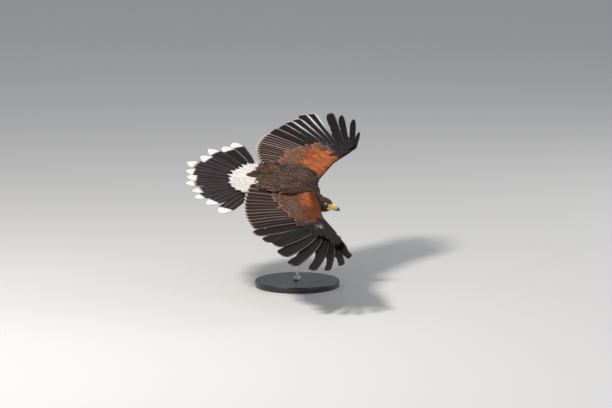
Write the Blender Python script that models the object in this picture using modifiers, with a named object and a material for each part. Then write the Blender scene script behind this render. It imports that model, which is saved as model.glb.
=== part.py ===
"""A Harris's hawk in banked flight, life size, on a plain display stand.

The bird is modelled level in its own axes, +X forward, +Y to its left and +Z up, with the
origin between its shoulders. One empty then banks it and lifts it over the stand's base.
"""

import math

import bmesh
import bpy
import numpy as np
from mathutils import Matrix, Vector

# Pose on the stand
BANK = math.radians(18.0)
BIRD_PLACE = (0.010, -0.0114, 0.330)
GAP = 0.0003
SMALL_GAP = 1.2 * GAP
SIDES = (("left", 1.0), ("right", -1.0))
SHARP_ANGLE = math.radians(40.0)

# Body line from the rump to the front of the breast: x, y, z, half width, half height
TORSO_LINE = (
    (-0.118, 0.000, -0.016, 0.036, 0.022),
    (-0.090, 0.000, -0.022, 0.043, 0.032),
    (-0.050, 0.000, -0.029, 0.051, 0.042),
    (-0.010, 0.000, -0.035, 0.055, 0.048),
    (0.020, -0.001, -0.039, 0.051, 0.045),
    (0.038, -0.007, -0.042, 0.037, 0.034),
)
NECK_LINE = (
    (0.028, -0.007, -0.0410, 0.0350, 0.0335),
    (0.037, -0.023, -0.0460, 0.0240, 0.0270),
    (0.050, -0.035, -0.0485, 0.0207, 0.0235),
    (0.063, -0.043, -0.0510, 0.0155, 0.0170),
)

# Head, in its own axes with the origin between the eyes
HEAD_PLACE = (0.082, -0.044, -0.0535)
HEAD_YAW = math.radians(12.0)
HEAD_PITCH = math.radians(11.0)
HEAD_LINE = (
    (-0.032, 0.0, -0.004, 0.009, 0.009),
    (-0.027, 0.0, -0.004, 0.016, 0.016),
    (-0.015, 0.0, -0.0045, 0.0205, 0.0215),
    (-0.003, 0.0, -0.005, 0.0200, 0.0225),
    (0.007, 0.0, -0.0055, 0.0170, 0.0200),
    (0.015, 0.0, -0.0065, 0.0122, 0.0150),
    (0.0205, 0.0, -0.0072, 0.0088, 0.0108),
    (0.0240, 0.0, -0.0075, 0.0078, 0.0092),
)
EYE_PLACE = (0.0010, 0.0150, -0.0005)
EYE_RADIUS = 0.0068
EYE_OUTWARD = (0.25, 1.0, 0.0)
LID_RADIUS = 0.0062
LID_THICK = 0.0011
LID_OUT = 0.0030
BROW_PLACE = (0.002, 0.0148, 0.0078)
BROW_RADIUS = 0.004
BROW_SCALE = (3.0, 1.0, 0.75)
MOUTH_PLACE = (0.0155, 0.0135, -0.0128)
MOUTH_SIZE = (0.022, 0.006, 0.0007)
MOUTH_YAW = math.radians(32.0)
MOUTH_PITCH = math.radians(-4.0)
NOSTRIL_PLACE = (0.0301, 0.0076, -0.0042)
NOSTRIL_RADIUS = 0.0013
NOSTRIL_SCALE = (1.5, 1.3, 0.9)

# Bill: x, culmen height, tomium height, half width
CERE_END = 0.0340
UPPER_BILL = (
    (0.0200, 0.0019, -0.0121, 0.0082),
    (0.0248, 0.0021, -0.0123, 0.0083),
    (0.0295, 0.0018, -0.0125, 0.0078),
    (0.0340, 0.0005, -0.0128, 0.0069),
    (0.0390, -0.0022, -0.0132, 0.0057),
    (0.0435, -0.0065, -0.0143, 0.0043),
    (0.0469, -0.0119, -0.0170, 0.0028),
    (0.0486, -0.0176, -0.0204, 0.0012),
)
LOWER_BILL = (
    (0.0200, -0.0127, -0.0178, 0.0074),
    (0.0248, -0.0127, -0.0180, 0.0075),
    (0.0312, -0.0129, -0.0179, 0.0065),
    (0.0379, -0.0136, -0.0175, 0.0047),
    (0.0430, -0.0147, -0.0170, 0.0025),
)

# Wings, as if both were the left one: forward, outward and up
SHOULDER = (0.050, 0.040, -0.018)
WRISTS = {"left": (0.090, 0.204, -0.030), "right": (0.102, 0.201, -0.030)}
HAND_ANGLES = {"left": math.radians(24.0), "right": math.radians(33.0)}
HAND_DROP = -0.10
HAND_LENGTH = 0.068
ELBOW = (0.022, 0.122, -0.018)

# Arm and hand from the body outwards: chord and thickness
WING_SECTIONS = (
    (0.100, 0.026),
    (0.098, 0.024),
    (0.088, 0.019),
    (0.066, 0.016),
    (0.050, 0.0145),
    (0.040, 0.011),
    (0.026, 0.007),
    (0.010, 0.0035),
)
WING_ROOT_STEP = (-0.004, -0.022, 0.0)
MIDDLE_STEP = (-0.001, 0.0, 0.002)
WRIST_STEP = (0.012, 0.026, 0.0)
HAND_END_RUN = 0.016
SECTION_RISE = 0.055
SECTION_SWEEP = 3.0
SECTION_FRONT = 1.30
SECTION_TAPER = 1.12

# Secondaries: their roots' ends as steps from elbow and wrist, and three points of the line of their tips
SECONDARIES = 13
ELBOW_SHARE = 0.25
FIRST_ROOT_STEP = (-0.016, -0.052, 0.002)
LAST_ROOT_STEP = (-0.024, -0.012, 0.0)
SECONDARY_ARCH = 0.004
REAR_TIPS = {
    "left": ((-0.152, 0.306, -0.003), (-0.186, 0.205, 0.004), (-0.1285, 0.090, 0.012)),
    "right": ((-0.106, 0.310, -0.003), (-0.162, 0.215, 0.004), (-0.148, 0.074, 0.012)),
}

# Primaries from the wrist outwards
FAN_INNER = {"left": math.radians(-60.0), "right": math.radians(-51.0)}
FAN_OUTER = {"left": math.radians(13.0), "right": math.radians(28.0)}
FAN_EASE = {"left": 1.0, "right": 1.35}
FAN_SHIFT = {
    "left": np.radians((1.3, 2.5, 1.2, 0.7, 0.0, -2.1, 0.0, -1.9, -0.8, 2.0)),
    "right": np.radians((0.0, 1.4, 0.0, -1.0, -2.4, -0.8, -1.0, 0.0, 0.0, 0.0)),
}
FAN_STRETCH = {
    "left": (1.06, 1.04, 1.035, 1.0, 1.045, 1.05, 1.03, 1.01, 0.985, 0.96),
    "right": (1.0, 0.985, 0.96, 1.03, 1.055, 0.99, 0.97, 0.95, 1.0, 0.95),
}
PRIMARY_REACH = (0.247, 0.251, 0.258, 0.276, 0.300, 0.318, 0.320, 0.302, 0.262, 0.186)
PRIMARY_TIP_UP = (0.0, -0.001, -0.002, -0.007, -0.016, -0.028, -0.032, -0.030, -0.020, -0.022)
PRIMARY_SAG = (0.002, 0.003, 0.004, 0.007, 0.011, 0.016, 0.020, 0.022, 0.022, 0.014)
PRIMARY_ROOT_STEP = (-0.022, -0.006, 0.001)
PRIMARY_ROOT_RUN = 0.012
PRIMARY_BOW = 0.035
PRIMARY_ROOTS_FROM = 0.04
PRIMARY_ROOTS_SPAN = 0.94

# Flight feathers' blades
STATIONS = (0.0, 0.22, 0.48, 0.74, 0.93, 1.0)
REMEX_WIDTH = 0.036
REMEX_PROFILE = (0.10, 0.80, 1.00, 0.92, 0.62, 0.18)
LEAD_SHARE = 0.36
BREADTH_AT = (9, 12, 13, 16, 19)
BREADTH = {"left": (1.0, 1.12, 1.26, 1.26, 1.08), "right": (1.0, 1.22, 1.34, 1.26, 1.0)}
LAST_REMEX_SHARE = 0.66
FINGERS_FROM = {"left": 6, "right": 5}
FINGER_NARROWING = (0.80, 0.85, 1.0)
VANE_THICK = 0.0007
TIP_THICK = 0.0004
STACK_STEP = 0.0014
LEAST_SPACING = 0.006
MOST_TILT = 0.22

# Coverts and the thumb's feathers
COVERT_PLACES = (0.0, 0.45, 0.85, 1.0)
COVERT_PROFILE = (0.55, 1.0, 0.78, 0.24)
COVERT_WIDTH = 0.030
COVERT_LEAD_SHARE = 0.40
COVERT_START = 0.03
GREATER_COVERT_END = 0.46
PRIMARY_COVERT_END = 0.33
PRIMARY_COVERT_SHARE = 0.80
OUTER_COVERT_SHARE = 0.55
COVERT_RAISES = (0.0010, 0.0023, 0.0023, 0.0023)
ALULA_LENGTHS = (0.060, 0.044)
ALULA_WIDTH = 0.015
ALULA_PROFILE = (0.35, 1.0, 0.75, 0.25)
ALULA_START = (-0.008, 0.002, 0.004)
ALULA_NEXT = (-0.006, 0.0, 0.001)
ALULA_LEAN = (-0.10, 0.0, 0.02)
ALULA_LEAN_NEXT = (-0.16, 0.0, 0.0)

# Tail
TAIL_PIVOT = (-0.112, 0.0, -0.006)
TAIL_FEATHERS = 12
TAIL_START = 0.020
TAIL_REACH = 0.254
TAIL_SHORTENING = 0.03
TAIL_LEFT = math.radians(62.0)
TAIL_RIGHT = math.radians(66.0)
TAIL_STRAY = np.radians((-1.5, 2.4, 4.2, 3.0, 5.4, 3.8, 1.2, 2.2, 3.0, 2.6, 1.4, -1.4))
TAIL_UNEVEN = (0.040, -0.045, -0.040, -0.085, -0.060, -0.075, -0.037, 0.034, -0.019, 0.050, 0.0, 0.052)
TAIL_WIDTH = 0.044
TAIL_PROFILE = (0.12, 0.58, 0.86, 1.00, 0.78, 0.26)
TAIL_OUTER_UP = -0.004
TAIL_TIP_UP = 0.018
TAIL_COVERTS = 8
TAIL_COVERT_START = 0.030
TAIL_COVERT_REACH = 0.098
TAIL_COVERT_SPREAD = 0.80
TAIL_COVERT_RAISES = (0.0065, 0.0088, 0.0095, 0.0095)
TAIL_COVERT_PROFILE = (0.45, 1.0, 0.75, 0.25)
TAIL_COVERT_WIDTH = 0.030
TAIL_LINE = (
    (-0.118 - GAP, 0.0, -0.016, 0.036, 0.022),
    (-0.140, 0.0, -0.011, 0.038, 0.0145),
    (-0.165, 0.0, -0.005, 0.038, 0.0070),
    (-0.186, 0.0, -0.001, 0.032, 0.0020),
)

# Legs, tucked back under the tail
THIGH_LINE = (
    (0.004, 0.028, -0.056, 0.018, 0.018),
    (-0.024, 0.034, -0.066, 0.023, 0.023),
    (-0.058, 0.033, -0.069, 0.018, 0.018),
    (-0.084, 0.029, -0.064, 0.0105, 0.0105),
    (-0.100, 0.027, -0.060, 0.0065, 0.0065),
)
TARSUS_END = (-0.166, 0.024, -0.047)
TARSUS_RADIUS = 0.0043
TARSUS_SHAPE = (1.15, 1.0, 0.95, 0.95, 1.05, 1.2)
TARSUS_FROM = 0.0012
TARSUS_SPAN = 0.97
FOOT_STEP = (-0.004, 0.0, -0.001)
FOOT_RADIUS = 0.0068
FOOT_SCALE = (1.0, 1.05, 0.8)
TOE_NAMES = ("inner", "middle", "outer", "hind")
TOE_LENGTHS = (0.030, 0.042, 0.031, 0.022)
TOE_SPLAY = (-24.0, 0.0, 22.0, 168.0)
TOE_CURL = 1.15
TOE_RADIUS = 0.0034
TOE_SHAPE = (1.15, 1.05, 1.12, 0.95, 1.0, 0.75)
CLAW_LENGTHS = (0.019, 0.018, 0.015, 0.021)
CLAW_CURL = 1.5
CLAW_SHARE = 0.68
CLAW_TAPER = 0.88

# Stand
BASE_RADIUS = 0.130
BASE_THICK = 0.018
BASE_BEVEL = 0.0025
ROD_RADIUS = 0.005
ROD_TOP = BIRD_PLACE[2] - 0.035
COLLAR_RADIUS = 0.012
COLLAR_HEIGHT = 0.010
BORE_TOP = 0.1

COLOURS = {
    "plumage": ((0.045, 0.028, 0.020, 1.0), 0.75),
    "wing": ((0.060, 0.034, 0.024, 1.0), 0.70),
    "tail": ((0.022, 0.018, 0.018, 1.0), 0.65),
    "thigh": ((0.300, 0.090, 0.030, 1.0), 0.80),
    "yellow": ((0.750, 0.480, 0.060, 1.0), 0.50),
    "horn": ((0.030, 0.034, 0.042, 1.0), 0.30),
    "eye": ((0.030, 0.012, 0.006, 1.0), 0.05),
    "base": ((0.020, 0.020, 0.022, 1.0), 0.40),
    "steel": ((0.600, 0.600, 0.620, 1.0), 0.30),
}


def clear_scene():
    for obj in list(bpy.data.objects):
        bpy.data.objects.remove(obj)


def new_collection(name):
    collection = bpy.data.collections.new(name)
    bpy.context.scene.collection.children.link(collection)
    return collection


def material(name):
    found = bpy.data.materials.get(name)
    if found:
        return found
    colour, roughness = COLOURS[name]
    made = bpy.data.materials.new(name)
    made.use_nodes = True
    shader = made.node_tree.nodes["Principled BSDF"]
    shader.inputs["Base Color"].default_value = colour
    shader.inputs["Roughness"].default_value = roughness
    shader.inputs["Metallic"].default_value = 1.0 if name == "steel" else 0.0
    return made


def object_of(name, work, finish, collection):
    """An object with a finish, made from a bmesh that is then freed."""
    mesh = bpy.data.meshes.new(name)
    work.to_mesh(mesh)
    work.free()
    mesh.materials.append(material(finish))
    obj = bpy.data.objects.new(name, mesh)
    collection.objects.link(obj)
    return obj


def object_from(name, points, faces, finish, collection):
    """A mesh object whose faces are turned outwards."""
    mesh = bpy.data.meshes.new(name)
    mesh.from_pydata([tuple(point) for point in points], [], faces)
    work = bmesh.new()
    work.from_mesh(mesh)
    bpy.data.meshes.remove(mesh)
    bmesh.ops.recalc_face_normals(work, faces=work.faces)
    return object_of(name, work, finish, collection)


def smooth(rows, count):
    """Points on a Catmull-Rom curve through the rows, evenly spaced by row."""
    rows = np.array(rows, float)
    padded = np.vstack([2 * rows[0] - rows[1], rows, 2 * rows[-1] - rows[-2]])
    place = np.linspace(0, len(rows) - 1, count)
    index = np.minimum(place.astype(int), len(rows) - 2)
    t = (place - index)[:, None]
    a, b, c, d = (padded[index + shift] for shift in range(4))
    square = (2 * a - 5 * b + 4 * c - d) * t**2
    cube = (3 * b - a - 3 * c + d) * t**3
    return 0.5 * (2 * b + (c - a) * t + square + cube)


def loft(name, rings, finish, collection):
    """A closed skin over rings of equal length, with a flat fan over each end."""
    rings = np.array(rings)
    count, around = rings.shape[:2]
    points = np.vstack([rings.reshape(-1, 3), rings[0].mean(axis=0), rings[-1].mean(axis=0)])
    faces = []
    for row in range(count - 1):
        for column in range(around):
            a = row * around + column
            b = row * around + (column + 1) % around
            faces.append((a, b, b + around))
            faces.append((a, b + around, a + around))
    last = (count - 1) * around
    for column in range(around):
        after = (column + 1) % around
        faces.append((count * around, after, column))
        faces.append((count * around + 1, last + column, last + after))
    return object_from(name, points, faces, finish, collection)


def oval_rings(line, count, around, power=2.2):
    """Rounded-square rings square to a body line of x, y, z, half width and half height."""
    rows = smooth(line, count)
    centres = rows[:, :3]
    ahead = np.gradient(centres, axis=0)
    ahead /= np.linalg.norm(ahead, axis=1)[:, None]
    side = np.cross((0.0, 0.0, 1.0), ahead)
    side /= np.linalg.norm(side, axis=1)[:, None]
    up = np.cross(ahead, side)
    turn = 2 * np.pi * np.arange(around) / around
    across = np.sign(np.cos(turn)) * np.abs(np.cos(turn)) ** (2 / power)
    high = np.sign(np.sin(turn)) * np.abs(np.sin(turn)) ** (2 / power)
    rings = centres[:, None]
    rings = rings + side[:, None] * (rows[:, 3, None] * across)[:, :, None]
    return rings + up[:, None] * (rows[:, 4, None] * high)[:, :, None]


def apply_modifier(obj, modifier):
    graph = bpy.context.evaluated_depsgraph_get()
    mesh = bpy.data.meshes.new_from_object(obj.evaluated_get(graph))
    obj.modifiers.remove(modifier)
    old = obj.data
    obj.data = mesh
    bpy.data.meshes.remove(old)


def box_size(points):
    points = np.array(points)
    return float(np.prod(points.max(axis=0) - points.min(axis=0) + 1e-4))


def keep_largest(obj):
    """Leaves only the closed surface with the largest box."""
    work = bmesh.new()
    work.from_mesh(obj.data)
    left = set(work.verts)
    shells = []
    while left:
        shell = {left.pop()}
        edge = list(shell)
        while edge:
            vertex = edge.pop()
            near = {link.other_vert(vertex) for link in vertex.link_edges} & left
            left -= near
            shell |= near
            edge.extend(near)
        shells.append(shell)
    shells.sort(key=lambda shell: box_size([vertex.co for vertex in shell]))
    spare = [vertex for shell in shells[:-1] for vertex in shell]
    bmesh.ops.delete(work, geom=spare, context="VERTS")
    work.to_mesh(obj.data)
    work.free()


def fuse(obj, pieces):
    """Joins closed pieces to obj by one Boolean union, and removes them."""
    group = new_collection(obj.name + "_pieces")
    for piece in pieces:
        for holder in list(piece.users_collection):
            holder.objects.unlink(piece)
        group.objects.link(piece)
    union = obj.modifiers.new("union", "BOOLEAN")
    union.operation = "UNION"
    union.solver = "MANIFOLD"
    union.operand_type = "COLLECTION"
    union.collection = group
    apply_modifier(obj, union)
    for piece in pieces:
        bpy.data.objects.remove(piece)
    bpy.data.collections.remove(group)
    keep_largest(obj)


def cut(obj, cutter):
    """Takes a cutter out of obj and removes the cutter."""
    cutter.hide_render = True
    cutter.display_type = "WIRE"
    difference = obj.modifiers.new("cut", "BOOLEAN")
    difference.operation = "DIFFERENCE"
    difference.object = cutter
    apply_modifier(obj, difference)
    bpy.data.objects.remove(cutter)
    keep_largest(obj)


def grown(obj, cutters):
    """A copy of obj that stands out by a little more than the gap all round."""
    copy = bpy.data.objects.new(obj.name + "_grown", obj.data.copy())
    cutters.objects.link(copy)
    work = bmesh.new()
    work.from_mesh(copy.data)
    work.normal_update()
    for vertex in work.verts:
        vertex.co += vertex.normal * SMALL_GAP
    work.to_mesh(copy.data)
    work.free()
    return copy


def clear_of(obj, neighbour, cutters):
    cut(obj, grown(neighbour, cutters))


def vanes(name, axes, lead, trail, finish, collection, outward=None):
    """One thin closed vane along each row of axes.

    axes holds a row of points for each feather. The blade spans from the shaft by lead on the
    side of the next row and by trail on the other, and is tipped so that each vane lies over
    the next one by a step where they cross. outward turns the tip of a blade round with -1.
    """
    axes = np.array(axes)
    along = np.gradient(axes, axis=1)
    along /= np.linalg.norm(along, axis=2)[:, :, None]
    spread = np.gradient(axes, axis=0)
    spread -= along * (spread * along).sum(axis=2)[:, :, None]
    flat = MOST_TILT * np.linalg.norm(spread[:, :, :2], axis=2)
    spread[:, :, 2] = np.clip(spread[:, :, 2], -flat, flat)
    spacing = np.linalg.norm(spread, axis=2)[:, :, None]
    side = spread / spacing
    up = np.cross(side, along)
    up *= np.sign(up[:, :, 2:3])
    slope = STACK_STEP / np.maximum(spacing, LEAST_SPACING)
    if outward is not None:
        slope = slope * outward[:, None, None]
    half_thick = np.linspace(VANE_THICK, TIP_THICK, axes.shape[1])[:, None] / 2
    made = []
    for index, axis in enumerate(axes):
        way = side[index] + up[index] * slope[index]
        front = axis + way * np.array(lead[index])[:, None]
        back = axis - way * np.array(trail[index])[:, None]
        half = up[index] * half_thick
        rings = np.stack([front + half, back + half, back - half, front - half], axis=1)
        made.append(vane_solid(f"{name}_{index}", rings, finish, collection))
    return made


def vane_solid(name, rings, finish, collection):
    """A closed blade of four-cornered rings, with its faces split along like diagonals."""
    count = len(rings)
    points = rings.reshape(-1, 3)
    faces = []
    for row in range(count - 1):
        a, b, c, d = (4 * row + corner for corner in range(4))
        faces += [(a, b, b + 4), (a, b + 4, a + 4)]
        faces += [(d, c + 4, c), (d, d + 4, c + 4)]
        faces += [(b, c, c + 4), (b, c + 4, b + 4)]
        faces += [(d, a, a + 4), (d, a + 4, d + 4)]
    end = 4 * (count - 1)
    faces += [(0, 3, 2), (0, 2, 1)]
    faces += [(end, end + 2, end + 3), (end, end + 1, end + 2)]
    return object_from(name, points, faces, finish, collection)


def mirrored(points, side):
    """Points of the left side moved to the side that is asked for."""
    return np.array(points) * (1.0, 1.0 if side == "left" else -1.0, 1.0)


def bird_neck(collection, head, torso, cutters):
    neck = loft("neck", oval_rings(NECK_LINE, 7, 20), "plumage", collection)
    clear_of(neck, torso, cutters)
    clear_of(neck, head, cutters)
    return neck


def head_matrix():
    turn = Matrix.Rotation(-BANK, 4, "X") @ Matrix.Rotation(HEAD_YAW, 4, "Z")
    return Matrix.Translation(HEAD_PLACE) @ turn @ Matrix.Rotation(HEAD_PITCH, 4, "Y")


def ball(name, radius, place, finish, collection, segments, rings, scale=(1.0, 1.0, 1.0)):
    work = bmesh.new()
    bmesh.ops.create_uvsphere(work, u_segments=segments, v_segments=rings, radius=radius)
    bmesh.ops.scale(work, vec=scale, verts=work.verts)
    bmesh.ops.translate(work, vec=place, verts=work.verts)
    return object_of(name, work, finish, collection)


def ring_band(name, centre, normal, radius, thick, finish, collection, around=14, sides=5):
    """A round band, such as an eyelid's rim, square to its normal."""
    side = normal.orthogonal().normalized()
    up = normal.cross(side)
    points = []
    faces = []
    for step in range(around):
        turn = 2 * math.pi * step / around
        out = side * math.cos(turn) + up * math.sin(turn)
        after = (step + 1) % around
        for corner in range(sides):
            angle = 2 * math.pi * corner / sides
            offset = out * (radius + thick * math.cos(angle)) + normal * thick * math.sin(angle)
            points.append(centre + offset)
            beside = (corner + 1) % sides
            a, b = step * sides + corner, step * sides + beside
            faces.append((a, b, after * sides + beside, after * sides + corner))
    return object_from(name, points, faces, finish, collection)


def bill_rings(line, around=14):
    """Upright oval rings of a bill part."""
    turn = 2 * np.pi * np.arange(around) / around
    rings = []
    for x, top, bottom, width in line:
        high = (top + bottom) / 2 + np.sin(turn) * (top - bottom) / 2
        rings.append(np.stack([np.full(around, x), np.cos(turn) * width, high], axis=1))
    return rings


def place_in_head(objects):
    matrix = head_matrix()
    for obj in objects:
        obj.data.transform(matrix)


def on_side(place, sign):
    """A point or direction of the left side as a vector of the side that is asked for."""
    return Vector((place[0], place[1] * sign, place[2]))


def bird_head(collection, cutters):
    """Head, cere, bill and eyes, made in the head's own axes and then turned into place."""
    head = loft("head", oval_rings(HEAD_LINE, 15, 22), "plumage", collection)
    swellings = []
    eyes = []
    for side, sign in SIDES:
        brow_place = on_side(BROW_PLACE, sign)
        swellings.append(
            ball("brow_" + side, BROW_RADIUS, brow_place, "plumage", cutters, 12, 8, BROW_SCALE)
        )
        outward = on_side(EYE_OUTWARD, sign).normalized()
        place = on_side(EYE_PLACE, sign)
        rim = place + outward * LID_OUT
        swellings.append(
            ring_band("lid_" + side, rim, outward, LID_RADIUS, LID_THICK, "yellow", cutters)
        )
        eyes.append(ball("eye_" + side, EYE_RADIUS, place, "eye", collection, 16, 10))
    fuse(head, swellings)
    for _, sign in SIDES:
        place = on_side(EYE_PLACE, sign)
        cut(head, ball("socket", EYE_RADIUS + 2 * GAP, place, "eye", cutters, 12, 8))
        cut(head, mouth_cutter(sign, cutters))
    cere_line = [row for row in UPPER_BILL if row[0] <= CERE_END]
    cere = loft("cere", bill_rings(cere_line), "yellow", collection)
    for _, sign in SIDES:
        place = on_side(NOSTRIL_PLACE, sign)
        cut(cere, ball("nostril", NOSTRIL_RADIUS, place, "horn", cutters, 10, 6, NOSTRIL_SCALE))
    tip_line = [row for row in UPPER_BILL if row[0] >= CERE_END]
    tip_line[0] = (CERE_END + GAP,) + tip_line[0][1:]
    upper = loft("bill_upper", bill_rings(tip_line), "horn", collection)
    lower = loft("bill_lower", bill_rings(LOWER_BILL), "horn", collection)
    clear_of(cere, head, cutters)
    for neighbour in (head, cere, upper):
        clear_of(lower, neighbour, cutters)
    place_in_head([head, cere, upper, lower] + eyes)
    return head


def mouth_cutter(sign, cutters):
    """A thin wedge that draws the line of the mouth back below the eye."""
    work = bmesh.new()
    bmesh.ops.create_cube(work, size=1.0)
    bmesh.ops.scale(work, vec=MOUTH_SIZE, verts=work.verts)
    turn = Matrix.Rotation(-sign * MOUTH_YAW, 4, "Z") @ Matrix.Rotation(MOUTH_PITCH, 4, "Y")
    place = Matrix.Translation(on_side(MOUTH_PLACE, sign))
    bmesh.ops.transform(work, matrix=place @ turn, verts=work.verts)
    return object_of("mouth_line", work, "horn", cutters)


def wing_frame(side):
    """The wing's named points: wrist, hand's end and the vector along the hand."""
    wrist = np.array(WRISTS[side])
    angle = HAND_ANGLES[side]
    along = np.array((math.sin(angle), math.cos(angle), HAND_DROP))
    return wrist, wrist + along * HAND_LENGTH, along


def wing_flesh(side, collection):
    """Arm and hand: a tapering rounded section along the leading edge."""
    wrist, hand_end, along = wing_frame(side)
    shoulder = np.array(SHOULDER)
    edge = np.array([
        shoulder + WING_ROOT_STEP,
        shoulder,
        (shoulder + wrist) / 2 + MIDDLE_STEP,
        wrist - WRIST_STEP,
        wrist,
        wrist + along * HAND_LENGTH / 2,
        hand_end,
        hand_end + along * HAND_END_RUN,
    ])
    rows = smooth(np.hstack([edge, WING_SECTIONS]), 12)
    around = 12
    turn = 2 * np.pi * np.arange(around) / around
    back = (1 - np.cos(turn)) / 2
    shape = np.sin(turn) / 2 * (SECTION_FRONT - SECTION_TAPER * back)
    rings = []
    for x, y, z, chord, thick in rows:
        sweep = SECTION_SWEEP * max(0.0, y - wrist[1])
        high = z + shape * thick + back * chord * SECTION_RISE
        rings.append(np.stack([x - back * chord, y + back * chord * sweep, high], axis=1))
    return loft("wing_" + side, mirrored(rings, side), "wing", collection)


def secondary_axes(side):
    """Shafts of the secondaries, from the body outwards."""
    wrist = np.array(WRISTS[side])
    elbow = np.array(ELBOW)
    outer, control, inner = (np.array(point) for point in REAR_TIPS[side])
    place = np.array(STATIONS)[:, None]
    axes = []
    for index in range(SECONDARIES):
        t = index / (SECONDARIES - 1)
        if t < ELBOW_SHARE:
            root = elbow + np.array(FIRST_ROOT_STEP) * (1 - t / ELBOW_SHARE)
        else:
            share = (t - ELBOW_SHARE) / (1 - ELBOW_SHARE)
            root = elbow + (wrist + LAST_ROOT_STEP - elbow) * share
        tip = inner * (1 - t) ** 2 + 2 * control * t * (1 - t) + outer * t**2
        axis = root + (tip - root) * place
        axis[:, 2] += SECONDARY_ARCH * np.sin(np.pi * place[:, 0])
        axes.append(axis)
    return np.array(axes)


def primary_axes(side):
    """Shafts of the primaries, from the wrist outwards, with the outer ones bent up."""
    wrist, _, along = wing_frame(side)
    place = np.array(STATIONS)
    axes = []
    for index, length in enumerate(PRIMARY_REACH):
        t = index / (len(PRIMARY_REACH) - 1)
        reach = length * FAN_STRETCH[side][index]
        eased = 1 - (1 - t) ** FAN_EASE[side]
        angle = FAN_INNER[side] + (FAN_OUTER[side] - FAN_INNER[side]) * eased + FAN_SHIFT[side][index]
        root = wrist + PRIMARY_ROOT_STEP + (PRIMARY_ROOT_RUN * t, 0.0, 0.0)
        root += along * HAND_LENGTH * (PRIMARY_ROOTS_FROM + PRIMARY_ROOTS_SPAN * t)
        tip = wrist + (math.sin(angle) * reach, math.cos(angle) * reach, 0.0)
        tip[2] = PRIMARY_TIP_UP[index]
        axis = root + (tip - root) * place[:, None]
        forward = np.array((math.cos(angle), -math.sin(angle), 0.0))
        axis += forward * (PRIMARY_BOW * reach * np.sin(np.pi * place))[:, None]
        axis[:, 2] -= PRIMARY_SAG[index] * np.sin(np.pi * place**0.9)
        axes.append(axis)
    return np.array(axes)


def bird_wing(side, collection, neighbours, cutters):
    """One wing: flesh, then primaries and secondaries with their greater coverts."""
    wing = wing_flesh(side, collection)
    axes = np.concatenate([secondary_axes(side), primary_axes(side)])
    widths = REMEX_WIDTH * np.interp(np.arange(len(axes)), BREADTH_AT, BREADTH[side])
    widths[-1] *= LAST_REMEX_SHARE
    shapes = []
    for index, width in enumerate(widths):
        shape = width * np.array(REMEX_PROFILE)
        if index >= SECONDARIES + FINGERS_FROM[side]:
            shape[3:] *= FINGER_NARROWING
        shapes.append(shape)
    lead = [shape * LEAD_SHARE for shape in shapes]
    trail = [shape * (1 - LEAD_SHARE) for shape in shapes]
    blades = vanes("remex", mirrored(axes, side), lead, trail, "wing", cutters)
    fuse(wing, blades + greater_coverts(side, axes, cutters) + alula(side, cutters))
    for neighbour in neighbours:
        clear_of(wing, neighbour, cutters)


def part_way(axes, ends):
    """Shorter shafts over the first part of each axis, lifted off it place by place."""
    made = []
    for axis, end in zip(axes, ends):
        place = COVERT_START + (end - COVERT_START) * np.array(COVERT_PLACES)
        points = np.stack([np.interp(place, STATIONS, column) for column in axis.T], axis=1)
        points[:, 2] += COVERT_RAISES
        made.append(points)
    return np.array(made)


def greater_coverts(side, axes, cutters):
    """One covert over the root of every flight feather."""
    inner = np.arange(len(axes)) < SECONDARIES
    share = np.where(inner, 1.0, PRIMARY_COVERT_SHARE)
    share[-2:] = OUTER_COVERT_SHARE
    shapes = share[:, None] * np.array(COVERT_PROFILE) * COVERT_WIDTH
    shafts = part_way(axes, np.where(inner, GREATER_COVERT_END, PRIMARY_COVERT_END))
    lead = shapes * COVERT_LEAD_SHARE
    trail = shapes * (1 - COVERT_LEAD_SHARE)
    return vanes("greater", mirrored(shafts, side), lead, trail, "wing", cutters)


def alula(side, cutters):
    """The small feathers of the thumb, which lie along the hand's leading edge."""
    wrist, _, along = wing_frame(side)
    axes = []
    for index, length in enumerate(ALULA_LENGTHS):
        start = wrist + ALULA_START + index * np.array(ALULA_NEXT)
        lean = along + ALULA_LEAN + index * np.array(ALULA_LEAN_NEXT)
        axes.append(start + lean * (np.array(COVERT_PLACES) * length)[:, None])
    half = [np.array(ALULA_PROFILE) * ALULA_WIDTH / 2] * len(axes)
    return vanes("alula", mirrored(axes[::-1], side), half, half, "wing", cutters)


def fan_axes(angles, start, reaches, places):
    """Shafts that run out level from the tail's pivot at the given angles."""
    axes = []
    for angle, reach in zip(angles, reaches):
        along = np.array((-math.cos(angle), math.sin(angle), 0.0))
        run = start + (reach - start) * np.array(places)
        axes.append(np.array(TAIL_PIVOT) + along * run[:, None])
    axes = np.array(axes)
    axes[len(axes) // 2, :, 2] += STACK_STEP
    return axes


def tail_leans(count):
    """Which way each blade of the tail is tipped, so that the middle ones lie on top."""
    return np.where(np.arange(count) < count / 2, -1.0, 1.0)


def bird_tail(collection, cutters):
    tail = loft("tail", oval_rings(TAIL_LINE, 6, 18), "tail", collection)
    angles = np.linspace(-TAIL_RIGHT, TAIL_LEFT, TAIL_FEATHERS)
    outward = np.linspace(-1.0, 1.0, TAIL_FEATHERS) ** 2
    reaches = TAIL_REACH * (1 - TAIL_SHORTENING * outward) * (1 + np.array(TAIL_UNEVEN))
    axes = fan_axes(angles + TAIL_STRAY, TAIL_START, reaches, STATIONS)
    axes[:, :, 2] += (TAIL_TIP_UP + TAIL_OUTER_UP * outward)[:, None] * np.array(STATIONS)
    half = [TAIL_WIDTH / 2 * np.array(TAIL_PROFILE)] * TAIL_FEATHERS
    blades = vanes("rectrix", axes, half, half, "tail", cutters, tail_leans(TAIL_FEATHERS))
    fuse(tail, blades + tail_coverts(cutters))


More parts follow.
